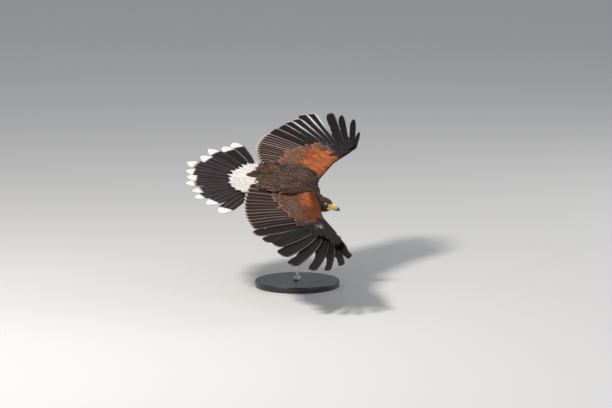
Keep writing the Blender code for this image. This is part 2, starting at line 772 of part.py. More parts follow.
def tail_coverts(cutters):
    """A tier of short feathers over the roots of the tail."""
    angles = np.linspace(-TAIL_RIGHT, TAIL_LEFT, TAIL_COVERTS) * TAIL_COVERT_SPREAD
    reaches = [TAIL_COVERT_REACH] * TAIL_COVERTS
    axes = fan_axes(angles, TAIL_COVERT_START, reaches, COVERT_PLACES)
    axes[:, :, 2] += TAIL_COVERT_RAISES
    half = [np.array(TAIL_COVERT_PROFILE) * TAIL_COVERT_WIDTH / 2] * TAIL_COVERTS
    return vanes("tail_covert", axes, half, half, "tail", cutters, tail_leans(TAIL_COVERTS))


def tube_rings(points, radii, around=10):
    """Round rings square to a path."""
    ahead = np.gradient(points, axis=0)
    ahead /= np.linalg.norm(ahead, axis=1)[:, None]
    side = np.cross(ahead, (0.0, 1.0, 0.001))
    side /= np.linalg.norm(side, axis=1)[:, None]
    up = np.cross(ahead, side)
    turn = 2 * np.pi * np.arange(around) / around
    rings = points[:, None] + side[:, None] * (radii[:, None] * np.cos(turn))[:, :, None]
    return rings + up[:, None] * (radii[:, None] * np.sin(turn))[:, :, None]


def curled(length, curl, place):
    """How far a curling limb has run ahead and dropped at each place along it."""
    run = length * np.sin(curl * place) / curl
    drop = length * (1 - np.cos(curl * place)) / curl
    return run[:, None], drop[:, None]


def toe_path(side, sign, index):
    """Points along a toe from the foot's pad, curling down as they go."""
    splay = math.radians(TOE_SPLAY[index])
    out = np.array((-math.cos(splay), math.sin(splay) * sign, 0.0))
    run, drop = curled(TOE_LENGTHS[index], TOE_CURL, np.linspace(0.0, 1.0, len(TOE_SHAPE)))
    return mirrored(TARSUS_END, side) + FOOT_STEP + out * run - np.array((0.0, 0.0, 1.0)) * drop


def bird_leg(side, sign, collection, torso, cutters):
    """Feathered thigh, bare shank, and a foot whose toes each end in a claw."""
    line = [(x, y * sign, z, width, height) for x, y, z, width, height in reversed(THIGH_LINE)]
    thigh = loft("thigh_" + side, oval_rings(line, 9, 14, 2.0), "thigh", collection)
    clear_of(thigh, torso, cutters)
    knee = mirrored(THIGH_LINE[-1][:3], side)
    ankle = mirrored(TARSUS_END, side)
    ahead = (ankle - knee) / np.linalg.norm(ankle - knee)
    places = np.linspace(0.0, TARSUS_SPAN, len(TARSUS_SHAPE))[:, None]
    shank = knee + ahead * TARSUS_FROM + (ankle - knee) * places
    radii = np.array(TARSUS_SHAPE) * TARSUS_RADIUS
    tarsus = loft("tarsus_" + side, tube_rings(shank, radii), "yellow", collection)
    clear_of(tarsus, thigh, cutters)
    pad = ankle + FOOT_STEP
    foot = ball("foot_" + side, FOOT_RADIUS, pad, "yellow", collection, 12, 8, FOOT_SCALE)
    toes = []
    for index, name in enumerate(TOE_NAMES):
        path = toe_path(side, sign, index)
        radii = TOE_RADIUS * np.array(TOE_SHAPE)
        toes.append(loft("toe_" + name, tube_rings(path, radii, 7), "yellow", cutters))
        claw(f"claw_{side}_{name}", CLAW_LENGTHS[index], path, collection)
    fuse(foot, toes)
    clear_of(foot, tarsus, cutters)


def claw(name, length, path, collection):
    """A tapering talon that goes on from the toe's end and curls under."""
    ahead = path[-1] - path[-2]
    ahead /= np.linalg.norm(ahead)
    level = (path[-2] - path[-4]) * (1.0, 1.0, 0.0)
    inward = -level / np.linalg.norm(level)
    turn_to = inward - ahead * inward.dot(ahead)
    turn_to /= np.linalg.norm(turn_to)
    place = np.linspace(0.0, 1.0, 5)
    run, drop = curled(length, CLAW_CURL, place)
    points = path[-1] + ahead * (GAP * 1.5 + run) + turn_to * drop
    radii = TOE_RADIUS * CLAW_SHARE * (1 - CLAW_TAPER * place)
    loft(name, tube_rings(points, radii, 7), "horn", collection)


def cylinder(name, radius, bottom, top, finish, collection, segments):
    work = bmesh.new()
    bmesh.ops.create_cone(
        work, cap_ends=True, segments=segments, radius1=radius, radius2=radius, depth=top - bottom
    )
    bmesh.ops.translate(work, vec=(0.0, 0.0, (top + bottom) / 2), verts=work.verts)
    return object_of(name, work, finish, collection)


def stand(collection, torso, cutters, pose):
    """A round base with a collar, and one rod up to the belly."""
    base = cylinder("stand_base", BASE_RADIUS, 0.0, BASE_THICK, "base", collection, 48)
    bevel = base.modifiers.new("edge", "BEVEL")
    bevel.width = BASE_BEVEL
    bevel.segments = 1
    bevel.limit_method = "ANGLE"
    foot = BASE_THICK + GAP
    collar = cylinder(
        "stand_collar", COLLAR_RADIUS, foot, foot + COLLAR_HEIGHT, "steel", collection, 24
    )
    cut(collar, cylinder("bore", ROD_RADIUS + GAP, 0.0, BORE_TOP, "steel", cutters, 16))
    rod = cylinder("stand_rod", ROD_RADIUS, foot, ROD_TOP, "steel", collection, 16)
    body = grown(torso, cutters)
    body.data.transform(pose)
    cut(rod, body)


def build():
    clear_scene()
    collection = new_collection("harris_hawk")
    cutters = new_collection("cutters")
    torso = loft("torso", oval_rings(TORSO_LINE, 13, 22), "plumage", collection)
    head = bird_head(collection, cutters)
    neck = bird_neck(collection, head, torso, cutters)
    for side, sign in SIDES:
        bird_wing(side, collection, (torso, neck), cutters)
        bird_leg(side, sign, collection, torso, cutters)
    bird_tail(collection, cutters)
    pose = Matrix.Translation(BIRD_PLACE) @ Matrix.Rotation(BANK, 4, "X")
    carrier = bpy.data.objects.new("bird_pose", None)
    bpy.context.scene.collection.objects.link(carrier)
    carrier.location = BIRD_PLACE
    carrier.rotation_euler = (BANK, 0.0, 0.0)
    for obj in collection.objects:
        obj.parent = carrier
        obj.data.shade_smooth()
        obj.data.set_sharp_from_angle(angle=SHARP_ANGLE)
    stand(collection, torso, cutters, pose)


build()
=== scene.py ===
# %% [markdown]
# # A Harris's hawk banking over its stand
# The finished model is a whole bird in feathers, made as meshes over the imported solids.
# The solids give every place and size; here they get one skin, a coat of separate feathers,
# fine flight feathers, a detailed head and feet, and a turned stand.

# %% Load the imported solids
import math

import bmesh
import bpy
import numpy as np
from mathutils import Matrix, Vector


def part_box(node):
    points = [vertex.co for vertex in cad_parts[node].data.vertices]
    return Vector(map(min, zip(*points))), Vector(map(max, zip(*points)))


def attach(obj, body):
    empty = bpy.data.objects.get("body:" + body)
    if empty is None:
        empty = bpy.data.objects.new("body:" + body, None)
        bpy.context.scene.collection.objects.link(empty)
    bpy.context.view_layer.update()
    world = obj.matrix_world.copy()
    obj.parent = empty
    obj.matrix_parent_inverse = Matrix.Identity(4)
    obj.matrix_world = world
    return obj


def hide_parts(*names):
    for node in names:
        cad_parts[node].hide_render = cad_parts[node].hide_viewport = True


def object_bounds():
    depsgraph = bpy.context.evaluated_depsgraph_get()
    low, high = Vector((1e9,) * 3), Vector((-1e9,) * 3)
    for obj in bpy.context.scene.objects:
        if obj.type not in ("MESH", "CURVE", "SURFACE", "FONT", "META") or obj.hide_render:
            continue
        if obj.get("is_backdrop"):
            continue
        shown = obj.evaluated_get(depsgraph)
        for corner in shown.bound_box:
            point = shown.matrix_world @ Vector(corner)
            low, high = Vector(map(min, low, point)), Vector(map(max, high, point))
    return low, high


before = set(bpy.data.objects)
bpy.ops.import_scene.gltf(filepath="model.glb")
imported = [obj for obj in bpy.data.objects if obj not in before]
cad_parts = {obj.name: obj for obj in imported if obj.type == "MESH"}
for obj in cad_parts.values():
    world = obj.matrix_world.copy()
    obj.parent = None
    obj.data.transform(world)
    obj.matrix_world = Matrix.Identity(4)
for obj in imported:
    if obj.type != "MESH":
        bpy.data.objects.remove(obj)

solid_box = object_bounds()
print("solids:", len(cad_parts), "nodes; box", [[round(v, 4) for v in c] for c in solid_box])

# %% [markdown]
# ## The bird's own axes
# A bird is easier to draw level, with +X ahead, +Y to its left and +Z up, and to bank as the
# last step. Every piece below is worked out in those axes, and one matrix carries it to the
# place that the solids have over the stand.

# %% Axes and random draws
BANK = math.radians(18.0)
BIRD_PLACE = np.array((0.01, -0.0114, 0.33))
BANK_TURN = np.array(Matrix.Rotation(BANK, 3, "X"))
HEAD_PLACE = np.array((0.082, -0.044, -0.0535))
HEAD_YAW, HEAD_PITCH = math.radians(12.0), math.radians(11.0)
HEAD_TURN = np.array(
    Matrix.Rotation(-BANK, 3, "X") @ Matrix.Rotation(HEAD_YAW, 3, "Z") @ Matrix.Rotation(HEAD_PITCH, 3, "Y")
)
draw = np.random.default_rng(7)


def to_world(points):
    """Bird axes to the row's frame: turn about X by the bank, then move to the bird's place."""
    return points @ BANK_TURN.T + BIRD_PLACE


def from_head(points):
    """Head axes, with the origin between the eyes, to bird axes."""
    return points @ HEAD_TURN.T + HEAD_PLACE


def unit(vectors):
    """Vectors divided by their own lengths, with a tiny floor so that none divides by zero."""
    return vectors / np.maximum(np.linalg.norm(vectors, axis=-1, keepdims=True), 1e-12)


def ramp(value, low, high):
    """A smooth step from 0 at low to 1 at high: 3t^2 - 2t^3 of the clamped share t."""
    t = np.clip((value - low) / (high - low), 0.0, 1.0)
    return t * t * (3 - 2 * t)


def pack(*parts):
    """Numbers side by side in a new last index, each stretched to the shape that all have in common."""
    return np.stack(np.broadcast_arrays(*parts), axis=-1)


def steps(count):
    """Evenly spaced shares from 0 to 1, both included."""
    return np.linspace(0.0, 1.0, count)


def blend(a, b, share):
    """Colours a and b mixed by a share for each row."""
    share = np.asarray(share)[..., None]
    return np.asarray(a) * (1 - share) + np.asarray(b) * share


def link(name, data):
    """A new object of the scene."""
    made = bpy.data.objects.new(name, data)
    bpy.context.scene.collection.objects.link(made)
    return made


print("bird stands", BIRD_PLACE, "banked", round(math.degrees(BANK)), "degrees")

# %% [markdown]
# ## The camera first
# The photograph was taken from far away, from a little above the bird's right side.
# A long lens at the same distance gives the same flat perspective. The frame of 612 by 408
# pixels is 1.867 m wide at the bird, so that one pixel is 3.05 mm, and the bird's origin falls on the
# pixel that it has in the photograph.

# %% Camera
FRAME_WIDE, FRAME_HIGH, PIXEL = 612, 408, 0.00305
AZIMUTH, ELEVATION, DISTANCE = math.radians(8.0), math.radians(10.0), 12.0
ORIGIN_PIXEL = (300.0, 180.3)
SENSOR = 36.0
ahead = Vector((
    -math.sin(AZIMUTH) * math.cos(ELEVATION), math.cos(AZIMUTH) * math.cos(ELEVATION), -math.sin(ELEVATION)
))
rightward = Vector((math.cos(AZIMUTH), math.sin(AZIMUTH), 0.0))
upward = rightward.cross(ahead)
camera_data = bpy.data.cameras.new("camera")
camera_data.sensor_width = SENSOR
camera_data.lens = SENSOR * DISTANCE / (FRAME_WIDE * PIXEL)
camera_data.clip_end = 100.0
camera = link("camera", camera_data)
camera.rotation_euler = ahead.to_track_quat("-Z", "Y").to_euler()
camera.location = (
    Vector(BIRD_PLACE)
    - ahead * DISTANCE
    + rightward * (FRAME_WIDE / 2 - ORIGIN_PIXEL[0]) * PIXEL
    - upward * (FRAME_HIGH / 2 - ORIGIN_PIXEL[1]) * PIXEL
)
bpy.context.scene.camera = camera
print("lens", round(camera_data.lens, 1), "mm at", [round(v, 3) for v in camera.location])

# %% [markdown]
# ## Meshes from whole arrays
# Each surface is an array of points, and its faces are index arithmetic. One helper puts points,
# faces, maps and colours into a mesh in a few bulk calls, which is much quicker than adding
# vertices one by one.

# %% Mesh helper
def paint(mesh, title, values):
    """Keeps linear RGB rows, or one grey value for each point, as a colour attribute with full alpha."""
    values = np.asarray(values, float).reshape(len(mesh.vertices), -1)
    values = np.broadcast_to(values, (len(values), 3))
    layer = mesh.color_attributes.new(title, "FLOAT_COLOR", "POINT")
    layer.data.foreach_set("color", np.insert(values, 3, 1.0, axis=1).astype(np.float32).ravel())


def make_mesh(name, points, faces, maps=None, colours=None, world=False):
    """A smooth-shaded object at the origin. faces is a list of index arrays, one per corner count.

    maps holds UV values and colours what paint takes, each under its layer's name.
    """
    points = np.asarray(points, float).reshape(-1, 3)
    points = points if world else to_world(points)
    corners = np.concatenate([group.ravel() for group in faces]).astype(np.int32)
    sizes = np.concatenate([np.full(len(group), group.shape[1]) for group in faces])
    starts = (np.cumsum(sizes) - sizes).astype(np.int32)
    mesh = bpy.data.meshes.new(name)
    mesh.vertices.add(len(points))
    mesh.vertices.foreach_set("co", points.astype(np.float32).ravel())
    mesh.loops.add(len(corners))
    mesh.loops.foreach_set("vertex_index", corners)
    mesh.polygons.add(len(sizes))
    mesh.polygons.foreach_set("loop_start", starts)
    mesh.update(calc_edges=True)
    for title, values in (maps or {}).items():
        layer = mesh.uv_layers.new(name=title)
        layer.data.foreach_set("uv", np.asarray(values, np.float32).reshape(-1, 2)[corners].ravel())
    for title, values in (colours or {}).items():
        paint(mesh, title, values)
    mesh.shade_smooth()
    return link(name, mesh)


def circle(count):
    """Angles of evenly spaced places round a circle."""
    return 2 * np.pi * np.arange(count) / count


def grid_faces(rows, around, closed=True):
    """Quads of a grid of rings, joined round when closed, with a many-sided cap on both ends."""
    row = np.arange(rows - 1)[:, None] * around
    column = np.arange(around if closed else around - 1)[None]
    after = (column + 1) % around
    quads = pack(row + column, row + after, row + after + around, row + column + around)
    caps = np.stack([np.arange(around)[::-1], np.arange(around) + (rows - 1) * around])
    return [quads.reshape(-1, 4), caps] if closed else [quads.reshape(-1, 4)]


def outward(obj):
    """Turns an object's faces outwards, for shapes whose ring order isn't known beforehand."""
    work = bmesh.new()
    work.from_mesh(obj.data)
    bmesh.ops.recalc_face_normals(work, faces=work.faces)
    work.to_mesh(obj.data)
    work.free()
    return obj


def shell(name, *grids, **options):
    """Closed grids of rings as one object whose faces look outwards. The options are make_mesh's."""
    starts = np.cumsum([0] + [grid.shape[0] * grid.shape[1] for grid in grids])
    faces = [group + start for grid, start in zip(grids, starts) for group in grid_faces(*grid.shape[:2])]
    return outward(make_mesh(name, np.concatenate([grid.reshape(-1, 3) for grid in grids]), faces, **options))


def make_probe(points):
    """A helper object of loose points, and its Shrinkwrap on to the skin, for finding places."""
    probe = make_mesh("probe", points, [np.zeros((0, 3), int)], world=True)
    wrap = probe.modifiers.new("wrap", "SHRINKWRAP")
    wrap.target = flesh
    return probe, wrap


def read(mesh, what):
    """A mesh's points, called co, or its normals, one row each."""
    values = np.empty(len(mesh.vertices) * 3, np.float32)
    mesh.vertices.foreach_get(what, values)
    return values.reshape(-1, 3).astype(float)


def probe_points(probe, shape):
    """Where a probe's Shrinkwrap puts its points."""
    graph = bpy.context.evaluated_depsgraph_get()
    graph.update()
    return read(probe.evaluated_get(graph).data, "co").reshape(shape)


def remove_helper(obj):
    """Removes a helper object and its mesh."""
    data = obj.data
    bpy.data.objects.remove(obj)
    bpy.data.meshes.remove(data)


def finish_piece(obj, material, slot, *nodes):
    """Gives a piece its finish, its body and the solids that it stands for."""
    obj.data.materials.clear()
    obj.data.materials.append(material)
    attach(obj, "root")
    if nodes:
        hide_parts(*nodes)
    return obj


def smooth_rows(rows, places):
    """Values on a Catmull-Rom curve through evenly numbered rows, at places from 0 to 1."""
    rows = np.asarray(rows, float)
    padded = np.vstack([2 * rows[0] - rows[1], rows, 2 * rows[-1] - rows[-2]])
    place = np.clip(np.asarray(places, float), 0.0, 1.0) * (len(rows) - 1)
    index = np.minimum(place.astype(int), len(rows) - 2)
    t = (place - index)[..., None]
    a, b, c, d = (padded[index + shift] for shift in range(4))
    return 0.5 * (2 * b + (c - a) * t + (2 * a - 5 * b + 4 * c - d) * t**2 + (3 * b - a - 3 * c + d) * t**3)


print("mesh helpers ready")

# %% [markdown]
# ## Lines of the body
# A body part is a soft oval carried along a line: each row has a place, a half width and a half
# height. The rows are the solids' own, so that the skin and the coat stay where the solids are.

# %% Body lines and the oval tube
TORSO_LINE = (
    (-0.118, 0.0, -0.016, 0.036, 0.022),
    (-0.09, 0.0, -0.022, 0.043, 0.032),
    (-0.05, 0.0, -0.029, 0.051, 0.042),
    (-0.01, 0.0, -0.035, 0.055, 0.048),
    (0.02, -0.001, -0.039, 0.051, 0.045),
    (0.038, -0.007, -0.042, 0.037, 0.034),
)
NECK_LINE = (
    (0.015, 0.0, -0.039, 0.038, 0.037),
    (0.028, -0.007, -0.041, 0.035, 0.0335),
    (0.037, -0.023, -0.046, 0.0245, 0.0275),
    (0.05, -0.035, -0.048, 0.0215, 0.0245),
    (0.066, -0.042, -0.05, 0.02, 0.0225),
)
HEAD_LINE = (
    (-0.032, 0.0, -0.004, 0.009, 0.009),
    (-0.027, 0.0, -0.004, 0.016, 0.016),
    (-0.015, 0.0, -0.0045, 0.0205, 0.0215),
    (-0.003, 0.0, -0.005, 0.02, 0.0225),
    (0.007, 0.0, -0.0055, 0.017, 0.02),
    (0.015, 0.0, -0.0065, 0.0122, 0.015),
    (0.0205, 0.0, -0.0072, 0.0088, 0.0108),
    (0.024, 0.0, -0.0075, 0.0078, 0.0092),
)
TAIL_LINE = (
    (-0.11, 0.0, -0.018, 0.037, 0.024),
    (-0.118, 0.0, -0.016, 0.036, 0.022),
    (-0.14, 0.0, -0.011, 0.038, 0.0145),
    (-0.165, 0.0, -0.005, 0.038, 0.007),
    (-0.186, 0.0, -0.001, 0.032, 0.002),
)
SHOULDER_LINE = (
    (0.046, 0.03, -0.02, 0.012, 0.009),
    (0.02, 0.045, -0.01, 0.03, 0.01),
    (-0.016, 0.052, -0.002, 0.04, 0.009),
    (-0.056, 0.052, 0.0035, 0.039, 0.006),
    (-0.094, 0.045, 0.0058, 0.028, 0.0034),
    (-0.122, 0.036, 0.003, 0.012, 0.0028),
)
THIGH_LINE = (
    (-0.1, 0.027, -0.06, 0.0065, 0.0065),
    (-0.084, 0.029, -0.064, 0.0105, 0.0105),
    (-0.058, 0.033, -0.069, 0.018, 0.018),
    (-0.024, 0.034, -0.066, 0.023, 0.023),
    (0.004, 0.028, -0.056, 0.018, 0.018),
)


def tube_surface(line, along, around, power=2.2, inset=0.0):
    """Points of a rounded oval tube.

    along runs from 0 to 1 over the line's rows and around from 0 to 1 in a circle. A point is the
    line's place plus the side vector times half width times cos, plus up times half height times sin,
    where cos and sin are raised to 2 / power, which makes the oval a little squarer than an ellipse.
    """
    along, around = np.broadcast_arrays(np.asarray(along, float), np.asarray(around, float))
    here = smooth_rows(line, along)
    forward = unit((smooth_rows(line, along + 0.01) - smooth_rows(line, along - 0.01))[..., :3])
    side = unit(np.cross((0.0, 0.0, 1.0), forward))
    up = np.cross(forward, side)
    turn = 2 * np.pi * around
    wide = np.sign(np.cos(turn)) * np.abs(np.cos(turn)) ** (2 / power)
    high = np.sign(np.sin(turn)) * np.abs(np.sin(turn)) ** (2 / power)
    half = np.maximum(here[..., 3:5] - inset, 0.0004)
    return here[..., :3] + side * (half[..., 0] * wide)[..., None] + up * (half[..., 1] * high)[..., None]


def tube_grid(line, rows, columns, power=2.2, inset=0.0):
    """A tube's points on an even grid: rows along its line and columns around it."""
    return tube_surface(line, steps(rows)[:, None], np.arange(columns) / columns, power, inset)


def both_sides(line, sign):
    """A leg's line for the left side (sign 1) or the right side (sign -1)."""
    return np.array(line) * (1.0, sign, 1.0, 1.0, 1.0)


print("torso length", round(TORSO_LINE[-1][0] - TORSO_LINE[0][0], 3), "m")

# %% [markdown]
# ## Lines of the wing
# A wing is a short arm and hand with a fan of long shafts. The shafts are the solids' own formulas:
# thirteen secondaries from the elbow to the wrist, and ten primaries fanned out from the hand, with the
# outer ones bent up by the air.

# %% Wing shafts
SHOULDER = np.array((0.05, 0.04, -0.018))
WRISTS = {"left": (0.09, 0.204, -0.03), "right": (0.102, 0.201, -0.03)}
HAND_ANGLES = {"left": math.radians(24.0), "right": math.radians(33.0)}
HAND_LENGTH = 0.068
ELBOW = np.array((0.022, 0.122, -0.018))
FAN_INNER = {"left": math.radians(-60.0), "right": math.radians(-51.0)}
FAN_OUTER = {"left": math.radians(13.0), "right": math.radians(28.0)}
FAN_EASE = {"left": 1.0, "right": 1.35}
FAN_SHIFT = {
    "left": np.radians((1.3, 2.5, 1.2, 0.7, 0.0, -2.1, 0.0, -1.9, -0.8, 2.0)),
    "right": np.radians((0.0, 1.4, 0.0, -1.0, -2.4, -0.8, -1.0, 0.3, 0.7, -1.8)),
}
FAN_STRETCH = {
    "left": np.array((1.06, 1.04, 1.035, 1.0, 1.045, 1.05, 1.03, 1.01, 0.985, 0.96)),
    "right": np.array((1.0, 0.985, 0.96, 1.03, 1.055, 0.99, 0.97, 0.95, 1.0, 0.95)),
}
PRIMARY_REACH = np.array((0.247, 0.251, 0.258, 0.276, 0.3, 0.318, 0.32, 0.302, 0.262, 0.186))
PRIMARY_TIP_UP = np.array((0.0, -0.001, -0.002, -0.007, -0.016, -0.028, -0.032, -0.03, -0.02, -0.022))
PRIMARY_SAG = np.array((0.002, 0.003, 0.004, 0.007, 0.011, 0.016, 0.02, 0.022, 0.022, 0.014))
SECONDARIES, PRIMARIES = 13, 10
REMIGES = SECONDARIES + PRIMARIES
REAR_TIPS = {
    "left": ((-0.152, 0.306, -0.003), (-0.186, 0.205, 0.004), (-0.1285, 0.09, 0.012)),
    "right": ((-0.106, 0.31, -0.003), (-0.162, 0.215, 0.004), (-0.148, 0.074, 0.012)),
}
SIDES = {"left": 1.0, "right": -1.0}


def hand_frame(side):
    """The wrist, the unit vector along the hand, and the hand's end, as if on the left."""
    wrist = np.array(WRISTS[side])
    angle = HAND_ANGLES[side]
    along = np.array((math.sin(angle), math.cos(angle), -0.1))
    return wrist, along, wrist + along * HAND_LENGTH


def secondary_shafts(side, places):
    """Straight shafts from the forearm to a curved rear line, raised a little in the middle."""
    wrist, _, _ = hand_frame(side)
    body_end = ELBOW + (-0.016, -0.052, 0.002)
    outer, control, inner = (np.array(point) for point in REAR_TIPS[side])
    t = steps(SECONDARIES)[:, None]
    near = body_end + (ELBOW - body_end) * (t / 0.25)
    far = ELBOW + (wrist + (-0.024, -0.012, 0.0) - ELBOW) * ((t - 0.25) / 0.75)
    root = np.where(t < 0.25, near, far)
    tip = inner * (1 - t) ** 2 + 2 * control * t * (1 - t) + outer * t**2
    axes = root[:, None] + (tip - root)[:, None] * places[None, :, None]
    axes[..., 2] += 0.004 * np.sin(np.pi * places)
    return axes


def primary_shafts(side, places):
    """Shafts fanned from the hand: each bows forward and sags, and its tip is bent up."""
    wrist, along, _ = hand_frame(side)
    t = np.arange(PRIMARIES) / (PRIMARIES - 1)
    angle = FAN_INNER[side] + (FAN_OUTER[side] - FAN_INNER[side]) * (1 - (1 - t) ** FAN_EASE[side])
    angle = angle + FAN_SHIFT[side]
    offset = pack(-0.022 + 0.012 * t, -0.006, 0.001)
    root = wrist + offset + along * (HAND_LENGTH * (0.04 + 0.94 * t))[:, None]
    reach = PRIMARY_REACH * FAN_STRETCH[side]
    tip = wrist + pack(np.sin(angle) * reach, np.cos(angle) * reach, 0.0)
    tip[:, 2] = PRIMARY_TIP_UP
    axes = root[:, None] + (tip - root)[:, None] * places[None, :, None]
    bow = np.sin(np.pi * places) * (0.035 * reach)[:, None]
    axes[..., 0] += bow * np.cos(angle)[:, None]
    axes[..., 1] -= bow * np.sin(angle)[:, None]
    axes[..., 2] -= PRIMARY_SAG[:, None] * np.sin(np.pi * places**0.9)
    return axes


def remex_shafts(side, places):
    """All of a wing's shafts, the secondaries first, at places from 0 at the root to 1 at the tip."""
    places = np.asarray(places, float)
    return np.concatenate([secondary_shafts(side, places), primary_shafts(side, places)])


print("shafts a wing:", remex_shafts("left", (0.0, 1.0)).shape[0])

# %% [markdown]
# ## One surface for each face of a wing
# The coverts lie on the arm's flesh in front and run out over the flight feathers behind, so they
# need one surface that goes over both. It is a grid of two numbers: across counts the shafts
# from the body to the tip, and back runs from -1 at the leading edge through 0 at the shafts' roots
# to 1 at the feathers' tips.

# %% Wing surface
SHAFT_STATIONS = 61
FLESH_RISE = 0.055


def teardrop(share):
    """How much fuller than an ellipse the flesh is at a share f of the chord: 1.30 - 1.12 f."""
    return 1.3 - 1.12 * share


def flesh_rows(side):
    """Leading edge point, chord and thickness from the body to the hand's end."""
    wrist, along, hand_end = hand_frame(side)
    root = SHOULDER + (-0.004, -0.022, 0.0)
    middle = (SHOULDER + wrist) / 2 + (-0.001, 0.0, 0.002)
    return np.array([
        (*root, 0.1, 0.026),
        (*SHOULDER, 0.098, 0.024),
        (*middle, 0.088, 0.019),
        (*(wrist - (0.012, 0.026, 0.0)), 0.066, 0.016),
        (*wrist, 0.05, 0.0145),
        (*(wrist + along * HAND_LENGTH * 0.5), 0.04, 0.011),
        (*hand_end, 0.026, 0.007),
        (*(hand_end + along * 0.016), 0.01, 0.0035),
    ])


def look_up(table, row, column):
    """Values between the entries of a table, by straight mixing along both of its sides."""
    row = np.clip(row, 0, table.shape[0] - 1.0001)
    column = np.clip(column, 0, table.shape[1] - 1.0001)
    i, j = row.astype(int), column.astype(int)
    s, t = (row - i)[..., None], (column - j)[..., None]
    first = table[i, j] * (1 - t) + table[i, j + 1] * t
    second = table[i + 1, j] * (1 - t) + table[i + 1, j + 1] * t
    return first * (1 - s) + second * s


class WingSurface:
    """The upper face (face 1) or lower face (face -1) of a wing, in bird axes."""

    def __init__(self, side, face):
        self.sign, self.face = SIDES[side], face
        self.shafts = remex_shafts(side, steps(SHAFT_STATIONS))
        arm, hand = np.linspace(0.9, 3.8, SECONDARIES), np.linspace(4.0, 6.5, PRIMARIES)
        stations = np.concatenate([arm, hand]) / (len(flesh_rows(side)) - 1)
        self.edge = np.repeat(smooth_rows(flesh_rows(side), stations)[:, None], 2, axis=1)
        self.front = np.linalg.norm(self.shafts[:, 0] - self.edge[:, 0, :3], axis=1)
        self.rear = np.linalg.norm(self.shafts[:, -1] - self.shafts[:, 0], axis=1)

    def shifted(self, back, across, metres):
        """The number back moved rearwards by a distance in metres, over the root line where it has to."""
        row = np.clip(across, 0, 1) * (REMIGES - 1)
        front = np.interp(row, np.arange(REMIGES), self.front)
        rear = np.interp(row, np.arange(REMIGES), self.rear)
        run = np.where(back < 0, back * front, back * rear) + metres
        return np.where(run < 0, run / front, run / rear)

    def __call__(self, back, across):
        """Place at back (-1 to 1) and across (0 to 1).

        Ahead of the shafts' roots the plan runs straight from the leading edge to the root. The height is
        the shaft's, or the flesh's own teardrop where that stands higher: thickness times the root of
        f(1 - f) times (1.30 - 1.12 f), with f the share of the chord behind the leading edge.
        """
        back, across = np.broadcast_arrays(np.asarray(back, float), np.asarray(across, float))
        row = across * (REMIGES - 1)
        shaft = look_up(self.shafts, row, np.clip(back, 0, 1) * (SHAFT_STATIONS - 1))
        edge = look_up(self.edge, row, np.zeros_like(row))
        front = np.clip(back + 1, 0, 1)[..., None]
        plan = np.where(back[..., None] < 0, edge[..., :3] + (shaft - edge[..., :3]) * front, shaft)
        share = np.clip((edge[..., 0] - plan[..., 0]) / edge[..., 3], 0.0, 1.0)
        middle = edge[..., 2] + share * edge[..., 3] * FLESH_RISE
        bulge = edge[..., 4] * np.sqrt(share * (1 - share)) * teardrop(share)
        flesh = middle + self.face * bulge
        lay = plan[..., 2] + self.face * 0.0006 * ramp(back, -0.5, 0.2)
        proud = np.maximum((flesh - lay) * self.face, 0.0) * (1 - ramp(share, 0.8, 1.0))
        high = flesh + (lay + self.face * proud - flesh) * ramp(back, -0.4, 0.0)
        return pack(plan[..., 0], plan[..., 1] * self.sign, high)


wing_faces = {(side, face): WingSurface(side, face) for side in SIDES for face in (1, -1)}
print("leading edge at the wrist:", wing_faces["left", 1](-1.0, 0.56).round(4))

# %% [markdown]
# ## The skin
# One skin takes the place of every flesh solid, so that no seam shows between the parts. The tubes
# are drawn a coat's depth inside the solids, joined, remeshed into one surface and
# smoothed, which rounds the corners where neck, wing and leg grow from the body.

# %% Skin
COAT_DEPTH, HEAD_COAT_DEPTH = 0.0028, 0.0012
SKIN_VOXEL = 0.0018


def wing_flesh_grid(side, inset=0.0):
    """Teardrop rings of the arm and hand, shrunk evenly by the inset."""
    rows = smooth_rows(flesh_rows(side), np.linspace(0.0, 0.985, 40))
    turn = circle(32)
    share = (1 - np.cos(turn)) / 2
    chord = np.maximum(rows[:, 3:4] - 2 * inset, 0.004)
    thick = np.maximum(rows[:, 4:5] - 2 * inset, 0.0012)
    wrist = np.array(WRISTS[side])
    x = rows[:, 0:1] - inset - share * chord
    y = rows[:, 1:2] + share * chord * np.maximum(0.0, rows[:, 1:2] - wrist[1]) * 3.0
    z = rows[:, 2:3] + np.sin(turn) * 0.5 * teardrop(share) * thick + share * chord * FLESH_RISE
    return pack(x, y * SIDES[side], z)


def applied(obj):
    """Replaces an object's mesh by what its modifiers make of it."""
    graph = bpy.context.evaluated_depsgraph_get()
    mesh = bpy.data.meshes.new_from_object(obj.evaluated_get(graph))
    old = obj.data
    obj.modifiers.clear()
    obj.data = mesh
    bpy.data.meshes.remove(old)
    return obj


grids = [
    tube_grid(TORSO_LINE, 40, 64, inset=COAT_DEPTH),
    tube_grid(NECK_LINE, 24, 48, inset=COAT_DEPTH * 0.8),
    from_head(tube_grid(HEAD_LINE, 48, 48, inset=HEAD_COAT_DEPTH)),
    tube_grid(TAIL_LINE, 24, 48, inset=COAT_DEPTH * 0.8),
    *(tube_grid(both_sides(THIGH_LINE, sign), 24, 32, 2.0, COAT_DEPTH) for sign in SIDES.values()),
    *(wing_flesh_grid(side, COAT_DEPTH * 0.6) for side in SIDES),
    *(tube_grid(both_sides(SHOULDER_LINE, sign), 30, 48, 1.55) for sign in SIDES.values()),
]
flesh = shell("skin_shape", *grids, world=True)
remesh = flesh.modifiers.new("whole", "REMESH")
remesh.mode = "VOXEL"
remesh.voxel_size = SKIN_VOXEL
round_off = flesh.modifiers.new("round", "SMOOTH")
round_off.factor = 0.5
round_off.iterations = 10
applied(flesh)
flesh.data.shade_smooth()
print("skin:", len(flesh.data.vertices), "points")


